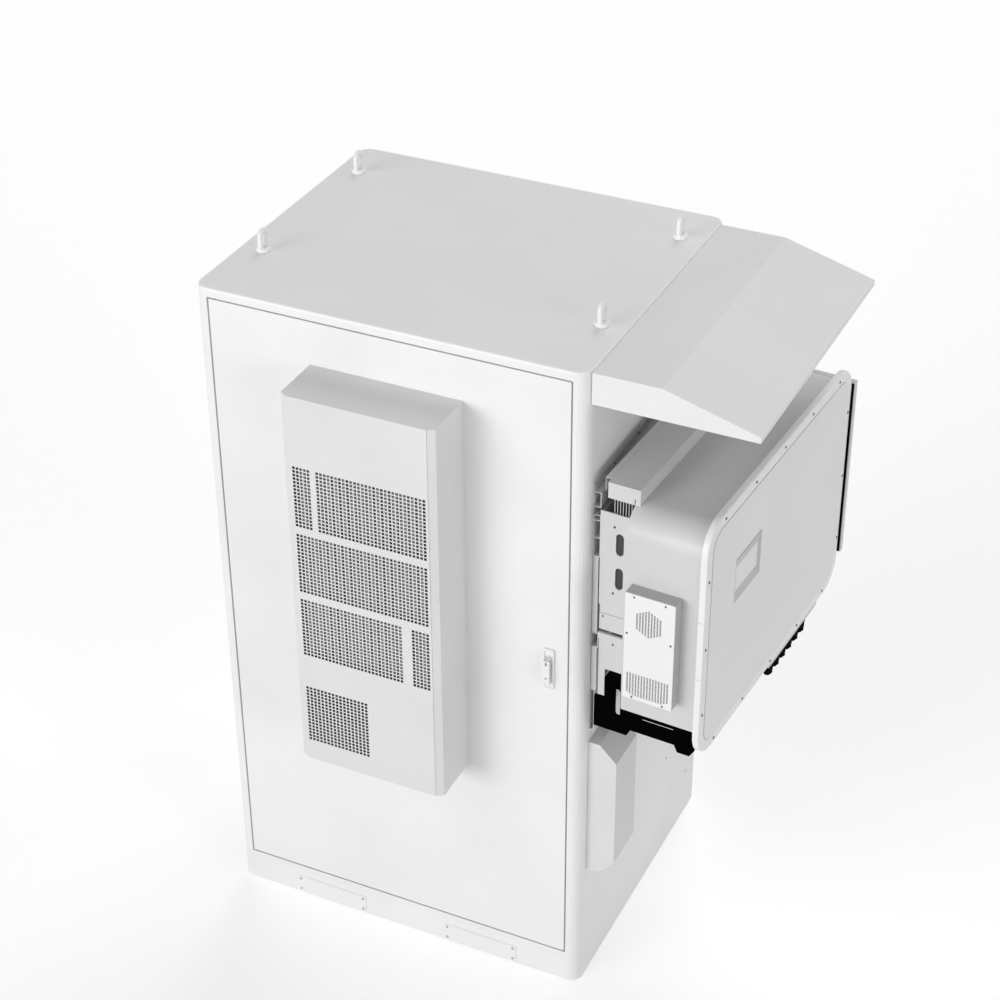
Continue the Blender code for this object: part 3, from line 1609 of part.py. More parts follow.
def rack():
    """Battery rack: four angle posts, shelf angles and cross members, welded together."""
    posts = []
    for side in (-1, 1):
        for y, inward in ((rack_front, 1), (rack_back, -1)):
            x = side * rack_width / 2
            corner = [
                (x, y), (x - side * post_size, y), (x - side * post_size, y + inward * post_wall),
                (x - side * post_wall, y + inward * post_wall), (x - side * post_wall, y + inward * post_size),
                (x, y + inward * post_size),
            ]
            posts.append(corner)
    item = prism("battery_rack", posts[0], "z", rack_low, rack_high, grey_paint, posts[1:])
    ledges = []
    levels = [first_shelf + index * shelf_pitch for index in range(pack_count + 1)]
    for level in levels:
        for side in (-1, 1):
            outer = side * (rack_width / 2 - post_wall / 2)
            inner = side * (rack_width / 2 - post_size - shelf_ledge)
            ledges.append((
                (min(outer, inner), rack_front + post_wall / 2, level - post_wall),
                (max(outer, inner), rack_back - post_wall / 2, level),
            ))
    fuse(item, boxes("rack_ledges", ledges))
    inner = rack_width / 2 - post_wall / 2
    ties = []
    for low, high in ((rack_low, rack_low + 0.040), (rack_high - 0.020, rack_high)):
        ties.append(((-inner, rack_front + post_wall / 2, low), (inner, rack_front + post_wall * 1.5, high)))
        ties.append(((-inner, rack_back - post_wall * 1.5, low), (inner, rack_back - post_wall / 2, high)))
    fuse(item, boxes("rack_ties", ties))


def battery_packs():
    """Battery packs on the rack's shelves, each with grips and two sockets on its front."""
    y0 = pack_front
    for index in range(pack_count):
        level = first_shelf + index * shelf_pitch + seat_gap
        name = f"battery_pack_{index + 1}"
        item = block(
            name, (-pack_width / 2, y0, level), (pack_width / 2, y0 + pack_depth, level + pack_height),
            grey_paint, pack_edge_radius, 1,
        )
        middle = level + pack_height / 2
        for side in (-1, 1):
            x = side * pack_handle_from_centre
            half, bar, tip = pack_handle_span / 2, pack_handle_thickness, y0 - pack_handle_reach
            root = y0 + 0.004
            grip = [
                (root, middle - half),
                (tip, middle - half),
                (tip, middle + half),
                (root, middle + half),
                (root, middle + half - bar),
                (tip + bar, middle + half - bar),
                (tip + bar, middle - half + bar),
                (root, middle - half + bar),
            ]
            start, end = x - pack_handle_width / 2, x + pack_handle_width / 2
            fuse(item, prism(f"{name}_grip_{side}", grip, "x", start, end))
            socket = cylinder(
                f"{name}_socket_{side}", pack_socket_radius, "y", y0 - pack_socket_length, y0 + 0.004,
                (side * 0.060, middle), sides=12,
            )
            fuse(item, socket)


def switch_box():
    """Switch box above the packs and the toggle of its main breaker."""
    y0 = pack_front
    level = top_shelf + seat_gap
    half = pack_width / 2
    item = block(
        "switch_box", (-half, y0, level), (half, y0 + switch_box_depth, level + switch_box_height), grey_paint, 0.004, 1
    )
    middle = level + switch_box_height / 2
    cut(item, block(
        "toggle_recess", (-toggle_width / 2 - 0.003, y0 - 0.020, middle - 0.028),
        (toggle_width / 2 + 0.003, y0 + 0.020, middle + 0.028),
    ))
    axis_y = y0 + 0.006
    pin = cylinder("toggle_pin", 0.003, "x", -toggle_width / 2 - 0.006, toggle_width / 2 + 0.006, (axis_y, middle), sides=12)
    fuse(item, pin)
    axis = empty("breaker_axis", (0.0, axis_y, middle))
    toggle = cylinder(
        "main_breaker_toggle", toggle_radius, "x", -toggle_width / 2, toggle_width / 2, (axis_y, middle), black_plastic, 16
    )
    grip = block(
        "toggle_grip", (-toggle_width / 2 + 0.002, -toggle_lever_length, -0.003), (toggle_width / 2 - 0.002, 0.0, 0.003)
    )
    turn = Matrix.Rotation(math.radians(-toggle_rest_degrees), 4, "X")
    grip.matrix_world = Matrix.Translation((0.0, axis_y, middle)) @ turn @ Matrix.Translation(grip.location)
    fuse(toggle, grip)
    bore = bore_radius(0.003, 16)
    cut(toggle, cylinder("toggle_bore", bore, "x", -toggle_width, toggle_width, (axis_y, middle), sides=16))
    carry(toggle, axis)


def build():
    """Make every piece."""
    plinth()
    pocket_covers()
    enclosure()
    lid()
    lifting_eyes()
    door_seal()
    hinge = empty("door_hinge_axis", (pivot_x, pivot_y, (door_low + door_high) / 2))
    door(hinge)
    handle(hinge)
    ac_cover(hinge)
    grille_panel(hinge)
    ac_inside(hinge)
    ac_fans(hinge)
    canopy()
    rails()
    cable_duct()
    frame = empty("inverter_frame", (*inverter_origin, 0.0), (0, 0, -yaw))
    hanger_plates(frame)
    bracket_arms(frame)
    inverter_body(frame)
    gland_plate(frame)
    heat_sink(frame)
    inverter_cover(frame)
    side_fan_box(frame)
    air_outlet(frame)
    rack()
    battery_packs()
    switch_box()


build()
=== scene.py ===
"""Looks of an outdoor battery cabinet: coated sheet steel, perforations, screws and glands in a plain studio."""

import json
import math

import bmesh
import bpy
from mathutils import Matrix, Vector


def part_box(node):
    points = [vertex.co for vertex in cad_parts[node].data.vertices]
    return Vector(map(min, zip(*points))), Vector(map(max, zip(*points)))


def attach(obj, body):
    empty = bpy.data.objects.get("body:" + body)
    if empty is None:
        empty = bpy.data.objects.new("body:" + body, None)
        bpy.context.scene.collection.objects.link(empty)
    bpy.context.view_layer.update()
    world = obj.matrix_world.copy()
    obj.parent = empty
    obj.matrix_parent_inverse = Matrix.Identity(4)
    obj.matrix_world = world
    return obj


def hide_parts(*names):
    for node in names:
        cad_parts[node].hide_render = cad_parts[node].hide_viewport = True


bl_info = {
    "name": "Battery cabinet",
    "version": (1, 0, 0),
    "blender": (4, 5, 0),
    "location": "View3D > Sidebar > Cabinet",
    "description": "Outdoor battery cabinet in a plain studio",
    "category": "Object",
}

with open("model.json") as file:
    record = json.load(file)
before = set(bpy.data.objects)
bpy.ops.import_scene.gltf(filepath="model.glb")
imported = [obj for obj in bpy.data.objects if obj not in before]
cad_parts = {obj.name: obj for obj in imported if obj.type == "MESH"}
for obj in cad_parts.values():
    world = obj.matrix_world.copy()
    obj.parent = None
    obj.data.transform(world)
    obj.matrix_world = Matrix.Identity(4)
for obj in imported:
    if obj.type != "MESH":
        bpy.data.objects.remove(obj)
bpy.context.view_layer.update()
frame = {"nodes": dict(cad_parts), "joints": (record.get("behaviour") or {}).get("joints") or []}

# The inverter hangs a little out of line with the wall: its fan's axis gives the turn.
fan_axis = next(j["axis"] for j in frame["joints"] if j["name"] == "side_fan_spin")
askew = Matrix.Rotation(-math.atan2(fan_axis[0], fan_axis[1]), 4, "Z")


def turned_box(node):
    """A CAD node's lowest and highest corner along the inverter's own axes."""
    back = askew.inverted()
    points = [back @ vertex.co for vertex in frame["nodes"][node].data.vertices]
    return [Vector([pick(axis) for axis in zip(*points)]) for pick in (min, max)]


grille_low, grille_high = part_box("ac_grille_panel")
cover_low, cover_high = turned_box("inverter_cover")
guard_low, guard_high = turned_box("side_fan_guard")
gland_low, gland_high = turned_box("gland_plate")
sink_low, sink_high = turned_box("heat_sink")
case_low, case_high = turned_box("inverter_housing")
outlet_low, outlet_high = turned_box("air_outlet_hood")
dish_low, dish_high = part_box("handle_dish")
lever_low, lever_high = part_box("handle_lever")
outward, forward = (1.0, 0.0, 0.0), (0.0, -1.0, 0.0)


def on_inverter(x, y, z):
    """A place given from the inverter cover's back lower near corner line: out from it, along it, and its level."""
    return Vector((cover_low.x + x, cover_low.y + y, z))


# Colours and nodes

def linear(code):
    """An sRGB hex colour as linear values with alpha."""
    channels = [int(code[i:i + 2], 16) / 255 for i in (1, 3, 5)]
    values = [c / 12.92 if c <= 0.04045 else ((c + 0.055) / 1.055) ** 2.4 for c in channels]
    return (*values, 1.0)


def add(tree, kind, inputs=None, **settings):
    """Add a node with its settings, and set or link its inputs. A node given as a value links its first output."""
    node = tree.nodes.new(kind)
    for name, value in settings.items():
        setattr(node, name, value)
    for socket, values in (inputs or {}).items():
        for value in values if isinstance(values, list) else [values]:
            source = value.outputs[0] if isinstance(value, bpy.types.Node) else value
            if isinstance(source, bpy.types.NodeSocket):
                tree.links.new(source, node.inputs[socket])
            else:
                node.inputs[socket].default_value = source
    return node


def empty_tree(owner):
    """The node tree of a material or a world, cleared."""
    owner.use_nodes = True
    owner.node_tree.nodes.clear()
    return owner.node_tree


def finish_of(name, code, patterns, dark, ends, worn, bump, shine=0.5, metal=0.0):
    """A material whose tone, roughness and relief follow patterns: a function gives their three nodes."""
    material = bpy.data.materials.new(name)
    tree = empty_tree(material)
    where = add(tree, "ShaderNodeTexCoord").outputs["Object"]
    tone, wear, height = patterns(tree, where)
    colour = linear(code) if isinstance(code, str) else (*code, 1.0)
    ramp = add(tree, "ShaderNodeValToRGB", {"Fac": tone})
    shades = ((*[c * dark for c in colour[:3]], 1.0), colour)
    for element, place, shade in zip(ramp.color_ramp.elements, ends, shades):
        element.position, element.color = place, shade
    rough = add(tree, "ShaderNodeMapRange", {"Value": wear, "To Min": worn[0], "To Max": worn[1]})
    relief = add(tree, "ShaderNodeBump", {"Height": height, "Strength": bump[0], "Distance": bump[1]})
    shader = add(tree, "ShaderNodeBsdfPrincipled", {
        "Base Color": ramp, "Roughness": rough, "Normal": relief, "Specular IOR Level": shine, "Metallic": metal,
    })
    add(tree, "ShaderNodeOutputMaterial", {"Surface": shader})
    return material


def powder_coat(name, code, roughness=0.42, shade=0.965, peel=0.12, shine=0.5):
    """Baked powder coat on sheet steel: satin, with the faint orange peel that the melting powder leaves."""
    def patterns(tree, where):
        # Film thickness drifts over some 300 mm, which shifts the tone by a few hundredths.
        drift = add(tree, "ShaderNodeTexNoise", {"Vector": where, "Scale": 3.3, "Detail": 2.0})
        # Peel cells are about 2 mm; drawn at 4 mm so that they show.
        cells = add(tree, "ShaderNodeTexNoise", {"Vector": where, "Scale": 250.0, "Detail": 1.0})
        return drift, cells, cells

    worn = (roughness - 0.05, roughness + 0.05)
    return finish_of(name, code, patterns, shade, (0.35, 0.65), worn, (peel, 0.0006), shine)


def drawn_metal(name, code, roughness, stretch, grain=0.0012):
    """Rolled or turned metal: fine grain lines along one direction."""
    def patterns(tree, where):
        placed = add(tree, "ShaderNodeMapping", {"Vector": where, "Scale": stretch})
        lines = add(tree, "ShaderNodeTexNoise", {"Vector": placed, "Scale": 1 / grain, "Detail": 3.0})
        return lines, lines, lines

    worn = (roughness - 0.07, roughness + 0.08)
    return finish_of(name, code, patterns, 0.88, (0.3, 0.7), worn, (0.15, 0.0002), metal=1.0)


def moulded(name, code, roughness, grain=0.0011, depth=0.25, shine=0.5, dark=0.85):
    """Moulded plastic or rubber: a fine spark-eroded grain that breaks the gloss."""
    def patterns(tree, where):
        cells = add(tree, "ShaderNodeTexVoronoi", {"Vector": where, "Scale": 1 / grain})
        cloud = add(tree, "ShaderNodeTexNoise", {"Vector": where, "Scale": 22.0, "Detail": 2.0})
        return cloud, cloud, cells

    worn = (roughness - 0.06, roughness + 0.06)
    return finish_of(name, code, patterns, dark, (0.35, 0.65), worn, (depth, 0.0002), shine)


# Meshes

def mesh_of(bm, name):
    """Turn a bmesh into mesh data with its faces outwards."""
    bmesh.ops.remove_doubles(bm, verts=bm.verts, dist=0.000005)
    bmesh.ops.recalc_face_normals(bm, faces=bm.faces)
    mesh = bpy.data.meshes.new(name)
    bm.to_mesh(mesh)
    bm.free()
    return mesh


def piece(name, shape, finish, slot, turn=None, smooth=None, replaced=(), body="cabinet"):
    """Link a bmesh or a finished mesh as a piece that rides on a body; its finish is one name, several or None."""
    mesh = mesh_of(shape, name) if isinstance(shape, bmesh.types.BMesh) else shape
    if turn is not None:
        mesh.transform(turn)
    item = bpy.data.objects.new(name, mesh)
    bpy.context.scene.collection.objects.link(item)
    for part in (finish,) if isinstance(finish, str) else finish or ():
        mesh.materials.append(finishes[part])
    if smooth is not None:
        mesh.shade_smooth()
        mesh.set_sharp_from_angle(angle=math.radians(smooth))
    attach(item, body)
    if replaced:
        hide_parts(*replaced)


def screws(name, points, radius, height, facing, finish="screw", turn=None):
    """Link screws on some points as one piece of the cabinet."""
    tree = bpy.data.node_groups.get("Screws") or screws_tree()
    mesh = grown(name, tree, points, {
        "Head radius": radius, "Head height": height, "Facing": facing, "Material": finishes[finish],
    })
    piece(name, mesh, None, "bare_steel", turn, 30)


def rounded_box(bm, low, high, radius, segments=2):
    """Add a box between two corners, with rounded edges where it has a radius."""
    size = [b - a for a, b in zip(low, high)]
    centre = [(a + b) / 2 for a, b in zip(low, high)]
    place = Matrix.Translation(centre) @ Matrix.Diagonal((*size, 1.0))
    corners = set(bmesh.ops.create_cube(bm, size=1.0, matrix=place)["verts"])
    if radius:
        edges = [edge for edge in bm.edges if corners.issuperset(edge.verts)]
        bmesh.ops.bevel(bm, geom=edges, offset=radius, segments=segments, profile=0.5, affect="EDGES")


def box_piece(name, boxes, finish, slot, turn=None, radius=0.0, segments=2, **more):
    """Link boxes, each given by two corners, as one piece."""
    bm = bmesh.new()
    for low, high in boxes:
        rounded_box(bm, low, high, radius, segments)
    piece(name, bm, finish, slot, turn, **more)


def rounded_loop(low, high, inset, radius, steps):
    """Points (u, v) round a rectangle, drawn in by an inset, with round corners."""
    reach = inset + radius
    points = []
    for turn, (u, v) in enumerate((
        (high[0] - reach, high[1] - reach), (low[0] + reach, high[1] - reach),
        (low[0] + reach, low[1] + reach), (high[0] - reach, low[1] + reach),
    )):
        for step in range(steps + 1):
            angle = math.radians(90 * (turn + step / steps))
            points.append((u + radius * math.cos(angle), v + radius * math.sin(angle)))
    return points


def loft_into(bm, loops):
    """Join loops of equally many points into a closed skin with a face at each end."""
    rings = [[bm.verts.new(point) for point in loop] for loop in loops]
    bands = []
    for first, second in zip(rings, rings[1:]):
        band = []
        for index in range(len(first)):
            after = (index + 1) % len(first)
            band.append(bm.faces.new((first[index], first[after], second[after], second[index])))
        bands.append(band)
    bm.faces.new(rings[0])
    bands.append([bm.faces.new(rings[-1])])
    return bands


def loop_into(bm, radius, thickness, foot, shoulder, place, bends=28, across=20):
    """Add a round bar bent into an upright loop: two legs from the foot and a half turn above the shoulder."""
    rows = []
    for step in range(-1, bends + 2):
        # Both ends are legs, which start at the foot.
        angle = math.pi * min(max(step / bends, 0.0), 1.0)
        level = foot if step in (-1, bends + 1) else shoulder
        row = []
        for part in range(across):
            turn = 2 * math.pi * part / across
            reach = radius + thickness * math.cos(turn)
            point = Vector((thickness * math.sin(turn), reach * math.cos(angle), level + reach * math.sin(angle)))
            row.append(bm.verts.new(place @ point))
        rows.append(row)
    for first, second in zip(rows, rows[1:]):
        for part in range(across):
            after = (part + 1) % across
            bm.faces.new((first[part], first[after], second[after], second[part]))
    bm.faces.new(rows[0])
    bm.faces.new(rows[-1])


def turn_into(bm, profile, sides, place):
    """Add a closed solid turned from (radius, height) points about the Z axis of a place."""
    rings = []
    for radius, height in profile:
        steps = sides if radius > 0 else 1
        ring = []
        for step in range(steps):
            angle = 2 * math.pi * step / steps
            point = place @ Vector((radius * math.cos(angle), radius * math.sin(angle), height))
            ring.append(bm.verts.new(point))
        rings.append(ring)
    for first, second in zip(rings, rings[1:]):
        for step in range(sides):
            corners = []
            for ring, index in ((first, step), (first, step + 1), (second, step + 1), (second, step)):
                vertex = ring[index % len(ring)]
                if vertex not in corners:
                    corners.append(vertex)
            bm.faces.new(corners)


# Geometry Nodes

def geometry_tree(name, defaults):
    """A geometry tree whose inputs are a geometry, numbers or directions with defaults, and a material."""
    tree = bpy.data.node_groups.new(name, "GeometryNodeTree")
    new_socket = tree.interface.new_socket
    new_socket("Geometry", in_out="INPUT", socket_type="NodeSocketGeometry")
    for label, value in defaults.items():
        kind = "NodeSocketFloat" if isinstance(value, float) else "NodeSocketVector"
        new_socket(label, in_out="INPUT", socket_type=kind).default_value = value
    new_socket("Material", in_out="INPUT", socket_type="NodeSocketMaterial")
    new_socket("Geometry", in_out="OUTPUT", socket_type="NodeSocketGeometry")
    return tree, add(tree, "NodeGroupInput").outputs


def perforated_sheet_tree():
    """A flat sheet in the XZ plane with one square hole at each point of the geometry."""
    tree, given = geometry_tree("Perforated sheet", {
        "Width": 0.4, "Height": 1.2, "Hole width": 0.008, "Hole height": 0.008, "Thickness": 0.0015,
    })
    rectangle = "GeometryNodeCurvePrimitiveQuadrilateral"
    outline = add(tree, rectangle, {"Width": given["Width"], "Height": given["Height"]})
    hole = add(tree, rectangle, {"Width": given["Hole width"], "Height": given["Hole height"]})
    holes = add(tree, "GeometryNodeInstanceOnPoints", {"Points": given["Geometry"], "Instance": hole})
    loops = add(tree, "GeometryNodeJoinGeometry", {"Geometry": [outline, holes]})
    flat = add(tree, "GeometryNodeRealizeInstances", {"Geometry": loops})
    face = add(tree, "GeometryNodeFillCurve", {"Curve": flat})
    raised = add(tree, "GeometryNodeExtrudeMesh", {
        "Mesh": face, "Offset": (0.0, 0.0, 1.0), "Offset Scale": given["Thickness"], "Individual": False,
    })
    under = add(tree, "GeometryNodeFlipFaces", {"Mesh": face})
    both = add(tree, "GeometryNodeJoinGeometry", {"Geometry": [raised, under]})
    closed = add(tree, "GeometryNodeMergeByDistance", {"Geometry": both, "Distance": 0.00001})
    upright = add(tree, "GeometryNodeTransform", {"Geometry": closed, "Rotation": (math.pi / 2, 0.0, 0.0)})
    finish_tree(tree, upright, given)
    return tree


def screws_tree():
    """Pan-head screws with a hexagon socket on points, all facing one way."""
    tree, given = geometry_tree("Screws", {"Head radius": 0.004, "Head height": 0.002, "Facing": forward})
    top = add(tree, "ShaderNodeMath", {0: given["Head radius"], 1: 0.82}, operation="MULTIPLY")
    head = add(tree, "GeometryNodeMeshCone", {
        "Vertices": 18, "Radius Top": top, "Radius Bottom": given["Head radius"], "Depth": given["Head height"],
    })
    rim = add(tree, "GeometryNodeExtrudeMesh", {"Mesh": head, "Selection": head.outputs["Top"], "Offset Scale": 0.0})
    mouth = rim.outputs["Top"]
    socket = add(tree, "GeometryNodeScaleElements", {"Geometry": rim, "Selection": mouth, "Scale": 0.55})
    depth = add(tree, "ShaderNodeMath", {0: given["Head height"], 1: -0.55}, operation="MULTIPLY")
    bored = add(tree, "GeometryNodeExtrudeMesh", {"Mesh": socket, "Selection": mouth, "Offset Scale": depth})
    turn = add(tree, "FunctionNodeAlignRotationToVector", {"Vector": given["Facing"]}, axis="Z")
    placed = add(tree, "GeometryNodeInstanceOnPoints", {
        "Points": given["Geometry"], "Instance": bored, "Rotation": turn,
    })
    finish_tree(tree, placed, given)
    return tree


def glands_tree():
    """Cable glands hanging down from points: hexagonal body, hexagonal cap nut with a domed end, and seal."""
    tree, given = geometry_tree("Cable glands", {"Radius": 0.019, "Length": 0.078})

    parts = []
    # Sides, radius share at the top and the bottom, and start and end as shares of the length.
    for sides, top, bottom, start, end in (
        (24, 0.8, 0.8, 0.0, 0.04), (6, 1.0, 1.0, 0.04, 0.3), (24, 0.9, 0.9, 0.3, 0.33),
        (6, 0.93, 0.93, 0.33, 0.66), (24, 0.86, 0.64, 0.66, 0.86), (24, 0.52, 0.52, 0.86, 1.0),
    ):
        scaled = {
            socket: add(tree, "ShaderNodeMath", {0: given[name], 1: share}, operation="MULTIPLY")
            for socket, name, share in (
                ("Radius Top", "Radius", top), ("Radius Bottom", "Radius", bottom),
                ("Depth", "Length", end - start), ("Z", "Length", -start),
            )
        }
        # The cone stands on its origin with its bottom ring, so it is turned over to hang down.
        shift = add(tree, "ShaderNodeCombineXYZ", {"Z": scaled.pop("Z")})
        shape = add(tree, "GeometryNodeMeshCone", {"Vertices": sides, **scaled})
        parts.append(add(tree, "GeometryNodeTransform", {
            "Geometry": shape, "Translation": shift, "Rotation": (math.pi, 0.0, 0.0),
        }))
    gland = add(tree, "GeometryNodeJoinGeometry", {"Geometry": parts})
    placed = add(tree, "GeometryNodeInstanceOnPoints", {"Points": given["Geometry"], "Instance": gland})
    finish_tree(tree, placed, given)
    return tree


def finish_tree(tree, geometry, given):
    """End a tree in Realize Instances and Set Material."""
    real = add(tree, "GeometryNodeRealizeInstances", {"Geometry": geometry})
    coated = add(tree, "GeometryNodeSetMaterial", {"Geometry": real, "Material": given["Material"]})
    add(tree, "NodeGroupOutput", {"Geometry": coated})


def grown(name, tree, points, values):
    """Run a geometry tree on some points and return the result as a plain mesh."""
    seed = bpy.data.meshes.new(name + "_points")
    seed.from_pydata([tuple(point) for point in points], [], [])
    item = bpy.data.objects.new(name + "_points", seed)
    bpy.context.scene.collection.objects.link(item)
    modifier = item.modifiers.new("Geometry", "NODES")
    modifier.node_group = tree
    for socket in tree.interface.items_tree:
        if socket.in_out == "INPUT" and socket.name in values:
            modifier[socket.identifier] = values[socket.name]
    item.update_tag()
    depsgraph = bpy.context.evaluated_depsgraph_get()
    mesh = bpy.data.meshes.new_from_object(item.evaluated_get(depsgraph))
    mesh.name = name
    bpy.data.objects.remove(item, do_unlink=True)
    bpy.data.meshes.remove(seed)
    return mesh


# Settings

def coat_setting(name, code):
    """A setting for a coat's colour."""
    return bpy.props.FloatVectorProperty(
        name=name, description=f"Coat of the {name.lower()}", subtype="COLOR", min=0.0, max=1.0,
        default=linear(code)[:3],
    )


def length_setting(name, default, description):
    """A length setting in metres."""
    return bpy.props.FloatProperty(name=name, description=description, unit="LENGTH", default=default)


class CabinetFinishSettings(bpy.types.PropertyGroup):
    """Colours of the coats"""

    cabinet_colour: coat_setting("Cabinet", "#EEEEEE")
    hood_colour: coat_setting("Air conditioner's hood", "#DFDFDF")
    inverter_colour: coat_setting("Inverter's cover", "#E5E5E5")
    rail_colour: coat_setting("Wall rails and hanger plates", "#D6D6D7")
    bracket_colour: coat_setting("Bracket arms", "#010101")


class GrilleSettings(bpy.types.PropertyGroup):
    """Perforations"""

    pitch: length_setting("Pitch", 0.0119, "Distance between the holes of the front sheet")
    hole: length_setting("Hole", 0.0086, "Side of a square hole")
    fan_column: length_setting("Fan plate columns", 0.0088, "Between the columns of slots over the side fan")
    fan_row: length_setting("Fan plate rows", 0.0046, "Between the rows of slots over the side fan")
    fan_slot_width: length_setting("Fan slot width", 0.0052, "Width of a slot over the side fan")
    fan_slot_height: length_setting("Fan slot height", 0.0031, "Height of a slot over the side fan")


class InverterSettings(bpy.types.PropertyGroup):
    """Inverter"""

    corner: length_setting("Cover corner", 0.09, "Radius of the cover's corners")
    border: length_setting("Cover border", 0.036, "Width of the flange round the raised panel")
    shoulder: length_setting("Near shoulder", 0.086, "Radius of the case's upper near corner")
    far_shoulder: length_setting("Far shoulder", 0.12, "Radius of the case's upper far corner")
    case_drop: length_setting("Case drop", 0.013, "How far the case's top lies under its back ledge")
    gland_radius: length_setting("Gland radius", 0.019, "Radius over a cable gland's corners")


class FastenerSettings(bpy.types.PropertyGroup):
    """Screws"""

    head_radius: length_setting("Head radius", 0.0046, "Radius of a cover screw's head")
    head_height: length_setting("Head height", 0.0017, "Height of a cover screw's head")
    small_radius: length_setting("Small head radius", 0.0033, "Radius of a small plate screw's head")


class StudioSettings(bpy.types.PropertyGroup):
    """Light and camera"""

    sky: bpy.props.FloatProperty(name="Sky", description="Strength of the even light from all round", default=0.28)
    lamps: bpy.props.FloatProperty(name="Lamps", description="Strength of all lamps together", default=1.0)
    lens: bpy.props.FloatProperty(name="Lens", description="Focal length in millimetres", default=82.62)


settings_groups = {
    "cabinet_finish": CabinetFinishSettings,
    "cabinet_grille": GrilleSettings,
    "cabinet_inverter": InverterSettings,
    "cabinet_fasteners": FastenerSettings,
    "cabinet_studio": StudioSettings,
}
# Large soft lamps round the object: name, side angle from the front, height angle, angle across, and strength.
lamps = (
    ("key", -15, 4, 35, 0.37),
    ("key_left", -30, 5, 35, 0.36),
    ("fill_left", -45, 25, 35, 0.1),
    ("right_front", 60, 4, 35, 0.16),
    ("right", 70, 12, 22, 0.125),
    ("right_back", 130, 30, 35, 0.11),
    ("rear_top", 180, 50, 35, 0.27),
)
# Solved from the photograph's vanishing lines.
camera_place, camera_angles = (2.6068, -5.2523, 5.1701), (56.786, 0.283, 25.302)
finishes = {}
# Each finish: its name here, its kind, the material's name, the sRGB code or the setting with it, and its values.
finish_rows = (
    ("cabinet", powder_coat, "White powder coat", "cabinet_colour"),
    ("hood", powder_coat, "Light grey powder coat", "hood_colour"),
    ("inverter", powder_coat, "Signal white powder coat", "inverter_colour", 0.38),
    ("rail", powder_coat, "Primed rail coat", "rail_colour", 0.5),
    ("canopy", powder_coat, "White canopy powder coat", "#E8E8E8", 0.45),
    ("housing", powder_coat, "Cast housing powder coat", "#D2D2D2"),
    # The fan box's mid grey is painted shade on its sides; the flange joints share this grey.
    ("fan_box", powder_coat, "Mid grey powder coat", "#B4B4B4", 0.45),
    ("duct", powder_coat, "Light grey duct coat", "#DADADA", 0.45),
    # Near black that paints the shade seen through the hanger plates' slots.
    ("skin", powder_coat, "Black anodised skin", "#363637", 0.5, 0.8),
    # The upper rail's darker grey is painted shade: a shaded copy of the rail coat.
    ("upper_rail", powder_coat, "Grey rail coat", "#CCCCCD", 0.5),
    # This black also paints the shade in the outlet's gap.
    ("bracket", powder_coat, "Black powder coat", "bracket_colour", 0.85, 0.8, 0.12, 0.02),
    ("rack", powder_coat, "Grey powder coat", "#B9BABC", 0.5, 0.94),
    ("pack", powder_coat, "Dark grey powder coat", "#55585C", 0.5, 0.92),
    # Metals: the grain runs along the axes with the smallest scale.
    ("steel", drawn_metal, "Turned steel", "#C4C6C8", 0.32, (1.0, 1.0, 12.0)),
    ("zinc", drawn_metal, "Zinc-plated sheet", "#B4B7BA", 0.45, (3.0, 3.0, 1.0), 0.004),
    ("screw", drawn_metal, "Black zinc screws", "#6E7072", 0.45, (1.0, 1.0, 1.0)),
    ("fin", drawn_metal, "Extruded aluminium", "#B9BBBD", 0.42, (1.0, 0.08, 1.0)),
    ("coil", drawn_metal, "Coil fin aluminium", "#8F9294", 0.5, (1.0, 1.0, 0.05), 0.0025),
    ("chrome", drawn_metal, "Satin zinc casting", "#D9DADB", 0.3, (1.0, 1.0, 6.0), 0.002),
    ("plastic", moulded, "Glass-filled nylon", "#050505", 0.7, 0.0011, 0.25, 0.04),
    # The bezel's grey is partly painted shade of the window's recessed walls.
    ("bezel", moulded, "Moulded polycarbonate bezel", "#C4C4C5", 0.5, 0.0011, 0.12, 0.5, 0.97),
    ("pane", moulded, "Smooth polycarbonate pane", "#E6E6E6", 0.35, 0.004, 0.01, 0.5, 0.97),
    # This black also paints the shadow line along the window's top.
    ("rubber", moulded, "Cellular rubber", "#1B1B1C", 0.85, 0.002, 0.4),
)
# The nodes that don't wear the cabinet's own coat.
coated_nodes = {
    "hood": ("ac_cover",),
    "canopy": ("sun_canopy",),
    "housing": ("inverter_housing", "heat_sink_shroud", "air_outlet_hood"),
    # The fan box's grey coat paints the shade on its sides.
    "fan_box": ("side_fan_box",),
    "duct": ("cable_duct",),
    # The upper rail's darker coat paints shade.
    "upper_rail": ("upper_wall_rail",),
    "rail": ("ladder_wall_rail", "middle_wall_rail", "lower_wall_rail", "hanger_plate_front", "hanger_plate_rear"),
    "zinc": ("ac_base_plate", "door_pivot_pin_lower", "door_pivot_pin_upper", "lock_guide_bracket"),
    "steel": ("lock_rod_upper", "lock_rod_lower", "condenser_fan_motor", "blower_motor"),
    "chrome": ("handle_hub",),
    "fin": ("heat_sink",),
    "coil": ("condenser_coil",),
    "bracket": ("bracket_arm_front", "bracket_arm_rear", "compressor"),
    "rack": ("battery_rack", "blower_rotor"),
    "pack": [n for n in frame["nodes"] if n.startswith("battery_pack")] + ["switch_box"],
    "plastic": (
        "door_bush_lower", "door_bush_upper", "condenser_fan_frame", "condenser_fan_rotor", "side_fan_rotor",
        "main_breaker_toggle",
    ),
    "rubber": ("door_seal",),
}


class CABINET_OT_finish(bpy.types.Operator):
    """Make the finishes and give one to each CAD node"""

    bl_idname = "cabinet.finish"
    bl_label = "Finishes"

    def execute(self, context):
        chosen = context.scene.cabinet_finish
        for name, build, label, code, *values in finish_rows:
            finishes[name] = build(label, code if code[0] == "#" else getattr(chosen, code), *values)
        coats = {node: finish for finish, nodes in coated_nodes.items() for node in nodes}
        for name, item in frame["nodes"].items():
            item.data.materials.clear()
            item.data.materials.append(finishes[coats.get(name, "cabinet")])
        return {"FINISHED"}


